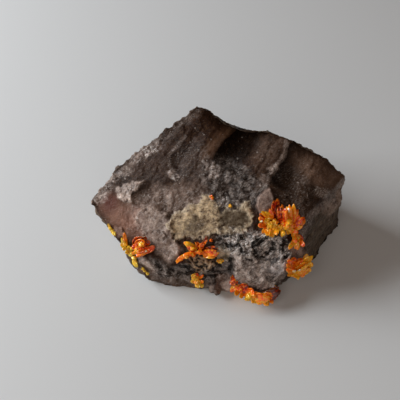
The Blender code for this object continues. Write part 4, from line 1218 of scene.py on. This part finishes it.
def smokyBarite():
    # Smoky barite, BaSO4, split along its cleavage and broken: glassy and almost black-brown where the
    # split is clean, grey and full of bright flecks where it crumbled, the flecks partly painted glints.
    # Shade under its ledges, in its hollows and in some dark patches is painted into its colour, as are
    # highlights on some crests and rims. Its index is 1.64.
    look = {
        "clean": ("#140a05", "#40271a"), "side": ("#2b231d", "#6f6555"), "lilac": ("#452f25", "#d9c0b1"),
        "pink": ("#6f4b3d", "#9d7460"), "crust": ("#4d341d", "#e6caa2"), "net": ("#6d5037", "#d0ac84"),
        "shadow": "#090402", "dark": "#0f0805", "brown": "#7c5940", "hair": "#7a5b40", "glow": "#5c2c24",
        "shade": "#33210f", "mist": "#c6b8b0", "rim": "#e9d7ba", "white": "#dcd6d6", "worn": "#d8c7b8",
        "hollowShade": "#100a08", "frost": "#ecdfd6",
    }
    # bright cleavage flecks, partly frost and partly painted glints: size in mm, how many cells shine in full
    # frost, strength, how many shine without
    flecks = [(0.34, 0.45, 0.75, 0.012), (0.60, 0.30, 0.80, 0.012), (1.10, 0.15, 0.60, 0.0)]
    material, tree = newMaterial("smoky barite, cleaved")
    place = addNode(tree, "TexCoord", out="Object")
    stored = finishes + ("edge", "side", "fall")
    value = {name: addNode(tree, "Attribute", out="Fac", attribute_name=name) for name in stored}
    middle = (0.5, 0.5, 0.5)

    # threads and cells wander with the growth of the stone, so their places are bent by a slow noise
    drift = addNode(tree, "TexNoise", {"Vector": place, "Scale": 1 / (2.6 * mm), "Detail": 2.0}, "Color")
    drift = addNode(tree, "VectorMath", {0: drift, 1: middle}, operation="SUBTRACT")
    drift = addNode(tree, "VectorMath", {0: drift, "Scale": 1.6 * mm}, operation="SCALE")
    bent = addNode(tree, "VectorMath", {0: place, 1: drift}, operation="ADD")

    def clouds(size, detail, roughness, low=0.35, high=0.65, vector=place):
        inputs = {"Vector": vector, "Scale": 1 / (size * mm), "Detail": detail, "Roughness": roughness}
        return stretch(tree, addNode(tree, "TexNoise", inputs), low, high)

    def streaks(direction, width, length):
        # thin threads that run one way through the stone
        axis = Vector(direction).normalized()
        first = axis.orthogonal().normalized()
        inputs = {}
        for index, (way, size) in enumerate(((first, width), (axis.cross(first), width), (axis, length))):
            near = addNode(tree, "VectorMath", {0: bent, 1: tuple(way)}, "Value", operation="DOT_PRODUCT")
            inputs[index] = together(tree, near, 1 / (size * mm))
        joined = addNode(tree, "CombineXYZ", inputs)
        inputs = {"Vector": joined, "Scale": 1.0, "Detail": 3.0, "Roughness": 0.6}
        return stretch(tree, addNode(tree, "TexNoise", inputs), 0.34, 0.66)

    def cells(size):
        # faces of the grains: every cell has its own shade
        found = addNode(tree, "TexVoronoi", {"Vector": bent, "Scale": 1 / (size * mm)}, "Color")
        return addNode(tree, "SeparateColor", {"Color": found}, 1)

    def hairs(size, width):
        # fine wandering threads, where a noise crosses its middle value, broken by a second noise
        inputs = {"Vector": bent, "Scale": 1 / (size * mm), "Detail": 2.0, "Roughness": 0.6}
        away = weighted(tree, [(addNode(tree, "TexNoise", inputs), 1.0)], -0.5)
        away = addNode(tree, "Math", {0: away}, operation="ABSOLUTE")
        return together(tree, stretch(tree, away, width, 0.0), clouds(0.7 * size, 2.0, 0.5, 0.42, 0.62))

    def either(first, second):
        return addNode(tree, "Math", {0: value[first], 1: value[second]}, operation="MAXIMUM")

    cloud = clouds(3.2, 5.0, 0.62)
    fine = clouds(0.75, 5.0, 0.74, 0.36, 0.64)
    grit = clouds(0.32, 3.0, 0.7, 0.36, 0.64)
    blots = clouds(1.4, 2.0, 0.5, 0.43, 0.57, bent)
    threads = streaks(rightward * 0.5 + upward, 0.20, 2.4)
    sideThreads = streaks(rightward * 0.52 + upward * 0.85, 0.28, 4.5)
    largeCells = cells(0.85)
    smallCells = cells(0.42)
    wool = addNode(tree, "Math", {0: hairs(1.1, 0.050), 1: hairs(0.55, 0.045)}, operation="MAXIMUM")

    # the pale and dark shades of each finish, blended by its own pattern
    tone = weighted(tree, [(cloud, 0.45), (threads, 0.30), (together(tree, grit, smallCells), 0.35)])
    facets = weighted(tree, [(largeCells, 0.28), (smallCells, 0.20), (fine, 0.24), (cloud, 0.28)])
    facets = stretch(tree, facets, 0.22, 0.80)
    crumbs = clouds(1.2, 3.0, 0.6, 0.38, 0.62)
    crusty = weighted(tree, [(fine, 0.30), (grit, 0.20), (smallCells, 0.15), (crumbs, 0.32), (cloud, 0.18)])
    crusty = stretch(tree, crusty, 0.22, 0.86)
    blends = {"clean": tone, "side": sideThreads, "pink": tone, "lilac": facets, "crust": crusty, "net": fine}
    paint = {name: toLinear(colour) for name, colour in look.items() if name not in blends}
    for name, pattern in blends.items():
        dark, pale = look[name]
        paint[name] = layCoats(tree, toLinear(dark), [(toLinear(pale), pattern)])
    shaded = together(tree, value["shade"], 0.92)
    paint["crust"] = layCoats(tree, paint["crust"], [(paint["shade"], shaded)])

    # dark places, together with those that carry painted shade
    darkAndShaded = either("dark", "fall")
    bare = together(tree, value["patchy"], weighted(tree, [(blots, -1.0)], 1.0))
    frost = together(tree, value["frost"], weighted(tree, [(bare, -0.85)], 1.0))
    rimmed = together(tree, value["crust"], weighted(tree, [(value["crust"], -1.0)], 1.0))
    ground = either("rough", "crust")
    # pale grains, partly dust and partly painted sparkle; real dust is finer than this sand, which is as
    # coarse as it takes to show
    sand = clouds(0.26, 2.0, 0.7, 0.50, 0.70)
    sanded = addNode(tree, "Math", {0: frost, 1: value["lilac"]}, operation="MAXIMUM")
    glints = stretch(tree, streaks(rightward + upward * 0.7, 0.22, 0.9), 0.62, 0.85)
    coats = [
        (paint["side"], either("side", "streaky")),
        (paint["brown"], together(tree, value["brown"], weighted(tree, [(tone, 0.6)], 0.35))),
        # the stone's dark patches, some of them painted shade
        (paint["dark"], value["dark"]),
        # painted shadow under the ledges
        (paint["shadow"], together(tree, value["fall"], 0.9)),
        (paint["hair"], together(tree, wool, weighted(tree, [(darkAndShaded, -0.28)], 0.36))),
        (paint["pink"], value["pink"]),
        (paint["glow"], together(tree, value["glow"], 0.8)),
        (paint["lilac"], together(tree, value["lilac"], weighted(tree, [(bare, -1.0)], 1.0))),
        (paint["mist"], together(tree, value["patchy"], blots, facets, 0.8)),
        (paint["crust"], value["crust"]),
        (paint["rim"], together(tree, rimmed, fine, 2.6)),
        (paint["net"], together(tree, value["net"], stretch(tree, value["edge"], 0.42, 0.55))),
        (paint["white"], together(tree, value["white"], weighted(tree, [(fine, 0.6)], 0.4))),
        # painted shadow in the gaps of the druse that are bare of frost
        (paint["shadow"], together(tree, bare, 0.6)),
        # pale edges, partly wear and partly painted highlight, and painted shade in hollows
        (paint["worn"], together(tree, stretch(tree, value["edge"], 0.58, 0.95, 0.6), ground)),
        (paint["hollowShade"], stretch(tree, value["edge"], 0.42, 0.08, 0.6)),
        # sand-fine pale grains everywhere, partly dust and partly painted sparkle, thicker in the grey and
        # frosted places
        (paint["frost"], together(tree, sand, weighted(tree, [(sanded, 0.28)], 0.01))),
        # short white strokes where the crystals of the druse catch the light
        (paint["frost"], together(tree, glints, frost, 0.95)),
    ]
    for size, many, strength, least in flecks:
        distance = addNode(tree, "TexVoronoi", {"Vector": bent, "Scale": 1 / (size * mm)}, "Distance")
        channels = addNode(tree, "SeparateColor", {"Color": distance.node.outputs["Color"]}).node.outputs
        wanted = weighted(tree, [(frost, many)], least)
        chosen = addNode(tree, "Math", {0: channels[0], 1: wanted}, operation="LESS_THAN")
        bright = together(tree, channels[1], weighted(tree, [(frost, 0.6)], 0.4))
        shape = stretch(tree, distance, 0.46, 0.26, strength)
        coats.append((paint["frost"], together(tree, chosen, shape, bright)))
    colour = layCoats(tree, paint["clean"], coats)

    # every cleavage fleck faces its own way
    facings = addNode(tree, "TexVoronoi", {"Vector": bent, "Scale": 1 / (0.55 * mm)}, "Color")
    facings = addNode(tree, "VectorMath", {0: facings, 1: middle}, operation="SUBTRACT")
    lean = weighted(tree, [(value["rough"], 0.7)], 0.05)
    facings = addNode(tree, "VectorMath", {0: facings, "Scale": lean}, operation="SCALE")
    normal = addNode(tree, "NewGeometry", out="Normal")
    normal = addNode(tree, "VectorMath", {0: normal, 1: facings}, operation="ADD")
    normal = addNode(tree, "VectorMath", {0: normal}, operation="NORMALIZE")
    relief = weighted(tree, [(fine, 1.0), (threads, 0.5)])
    inputs = {"Height": relief, "Normal": normal, "Strength": 0.6, "Distance": 0.14 * mm}
    normal = addNode(tree, "Bump", inputs)
    addNode(tree, "OutputMaterial", {"Surface": addNode(tree, "BsdfPrincipled", {
        "Base Color": colour, "Normal": normal, "IOR": 1.64,
        "Roughness": weighted(tree, [(value["crust"], 0.25), (frost, -0.2)], 0.42),
        "Specular IOR Level": weighted(tree, [(frost, 0.40), (darkAndShaded, -0.05)], 0.07),
        "Subsurface Weight": 0.1, "Subsurface Radius": (1.0, 0.7, 0.5), "Subsurface Scale": 1.0 * mm,
    })})
    return material


def orpimentCrystal():
    # Orpiment, As2S3, in bladed crystals: resinous to pearly, see-through in thin blades, deep red at the
    # roots and orange to gold at the tips; the red at the roots and in crevices is partly painted shade, and
    # the gold edges and the white and yellow flashes are painted highlights. Its index is near 2.4, hence the
    # hard bright glints.
    look = {
        "tones": [
            (0.0, "#480a03"), (0.12, "#a01d03"), (0.24, "#e84605"), (0.38, "#ff6e0a"), (0.58, "#ff9a16"),
            (0.78, "#ffbc22"), (1.0, "#f2cc44"),
        ],
        "root": "#6b1002", "edge": "#ffbf3c", "whiteHighlight": "#ffeccb",
    }
    material, tree = newMaterial("orpiment, bladed")
    place = addNode(tree, "TexCoord", out="Object")
    stored = ("grown", "tone", "grain", "edge")
    value = {name: addNode(tree, "Attribute", out="Fac", attribute_name=name) for name in stored}
    root, edge, whiteHighlight = (toLinear(look[name]) for name in ("root", "edge", "whiteHighlight"))

    def toned(pattern):
        # the crystal's colours from deep red to olive yellow
        result = addNode(tree, "ValToRGB", {"Fac": pattern})
        stops = result.node.color_ramp.elements
        stops.remove(stops[1])
        for index, (position, colour) in enumerate(look["tones"]):
            stop = stops[0] if index == 0 else stops.new(position)
            stop.position = position
            stop.color = toLinear(colour)
        return result

    inputs = {"Vector": place, "Scale": 1 / (0.6 * mm), "Detail": 4.0, "Roughness": 0.7}
    grit = addNode(tree, "TexNoise", inputs)
    lean = weighted(tree, [(grit, 0.9), (value["tone"], 1.0)], -0.45)
    bright = stretch(tree, value["tone"], 1.15, 1.5)
    # small crystals side by side: dark seams between them, and painted yellow highlights on some of them
    inputs = {"Vector": place, "Scale": 1 / (0.42 * mm)}
    seam = addNode(tree, "TexVoronoi", inputs, "Distance", feature="DISTANCE_TO_EDGE")
    flash = addNode(tree, "TexVoronoi", {"Vector": place, "Scale": 1 / (0.34 * mm)}, "Color")
    flash = stretch(tree, addNode(tree, "SeparateColor", {"Color": flash}), 0.70, 0.88, 0.9)
    colour = layCoats(tree, toned(lean), [
        # painted shade towards the roots of the plates
        (root, stretch(tree, value["grown"], 0.05, 0.45, 0.0, 0.35)),
        # painted shade in the crevices between crystals
        (root, stretch(tree, value["edge"], 0.44, 0.12, 0.80)),
        # painted highlight on the crystals' edges
        (edge, stretch(tree, value["edge"], 0.54, 0.85, 0.6)),
        # painted white highlight on plates with a tone over 1.15
        (whiteHighlight, bright),
        (root, together(tree, stretch(tree, seam, 0.12, 0.0, 0.75), stretch(tree, grit, 0.48, 0.62))),
        # painted yellow highlights on some small crystals
        (toned(weighted(tree, [(lean, 1.0)], 0.42)), together(tree, flash, value["grain"])),
    ])
    ridges = addNode(tree, "TexNoise", {"Vector": place, "Scale": 1 / (0.22 * mm), "Detail": 3.0})
    addNode(tree, "OutputMaterial", {"Surface": addNode(tree, "BsdfPrincipled", {
        "Base Color": colour, "IOR": 2.4, "Roughness": 0.14,
        "Specular IOR Level": stretch(tree, bright, 0.0, 1.0, 1.0, 0.13),
        "Normal": addNode(tree, "Bump", {"Height": ridges, "Strength": 0.2, "Distance": 0.05 * mm}),
        "Subsurface Weight": 0.25, "Subsurface Radius": (1.0, 0.35, 0.05), "Subsurface Scale": 0.5 * mm,
    })})
    return material


# The table and its plain soft light, in metres and watts: a low window on the left and the pale room behind
# the camera
table = {"size": 3.0, "colour": "#d9dbdc", "roughness": 0.7, "specular": 0.2}
lights = {
    "window": {
        "place": (-0.40, 0.075, 0.187), "aim": (0.0, -0.16, 0.0), "size": (0.36, 0.17), "power": 2.72,
        "colour": "#f8fcff",
    },
    "room": {
        "place": (-0.09, -0.44, 0.35), "aim": (0.0, 0.0, 0.0), "size": (0.60, 0.50), "power": 0.80,
        "colour": "#fff8f1",
    },
}
roomGlow = {"colour": "#fbd8c0", "strength": 0.09}


def makeTable():
    bpy.ops.mesh.primitive_plane_add(size=table["size"])
    floor = bpy.context.object
    floor.name = "table"
    # white paint, rolled on: matt, with the faintest sheen
    material, tree = newMaterial("white painted table")
    addNode(tree, "OutputMaterial", {"Surface": addNode(tree, "BsdfPrincipled", {
        "Base Color": toLinear(table["colour"]), "Roughness": table["roughness"],
        "Specular IOR Level": table["specular"],
    })})
    floor.data.materials.append(material)


def makeLight(name, light):
    lamp = bpy.data.lights.new(name, "AREA")
    lamp.shape = "RECTANGLE"
    lamp.size, lamp.size_y = light["size"]
    lamp.energy = light["power"]
    lamp.color = toLinear(light["colour"])[:3]
    holder = bpy.data.objects.new(name, lamp)
    holder.location = light["place"]
    holder.rotation_mode = "QUATERNION"
    holder.rotation_quaternion = (Vector(light["aim"]) - Vector(light["place"])).to_track_quat("-Z", "Y")
    bpy.context.scene.collection.objects.link(holder)


def makeCamera():
    lens = bpy.data.cameras.new("camera")
    lens.lens = lens.sensor_width * view["distance"] / view["frameWidth"]
    lens.clip_start = 0.01
    camera = bpy.data.objects.new("camera", lens)
    camera.location = eye * mm
    camera.rotation_mode = "QUATERNION"
    camera.rotation_quaternion = (-outward).to_track_quat("-Z", "Y")
    bpy.context.scene.collection.objects.link(camera)
    bpy.context.scene.camera = camera


def makeStage():
    makeTable()
    for name, light in lights.items():
        makeLight(name, light)
    world = bpy.data.worlds.new("room light")
    bpy.context.scene.world = world
    world.use_nodes = True
    glow = world.node_tree.nodes["Background"]
    glow.inputs["Color"].default_value = toLinear(roomGlow["colour"])
    glow.inputs["Strength"].default_value = roomGlow["strength"]
    makeCamera()
    bpy.context.scene.view_settings.view_transform = "Standard"


makeStage()
print("stage ready")
stone = makeBlock()
stone.data.materials.append(smokyBarite())
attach(stone, "root")
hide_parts("barite_block")
print("barite ready:", len(stone.data.polygons), "faces")

surface = bmesh.new()
surface.from_mesh(stone.data)
bmesh.ops.scale(surface, vec=(1 / mm,) * 3, verts=surface.verts)
stoneTree = BVHTree.FromBMesh(surface)
surface.free()
crystal = orpimentCrystal()
for name, group in groups.items():
    low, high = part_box(name)
    # where the stone isn't seen beside a group, its crystals start just behind the middle of its solid
    usual = ((low + high) / 2.0 / mm - target).dot(outward) - 0.4
    piece = makeGroup(name, group, stoneTree, usual)
    piece.data.materials.append(crystal)
    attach(piece, "root")
    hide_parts(name)
    print(name, "ready:", len(piece.data.polygons), "faces")

grains = makeGroup("orpiment_specks", specks, stoneTree)
grains.data.materials.append(crystal)
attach(grains, "root")
print("specks ready:", len(grains.data.polygons), "faces")
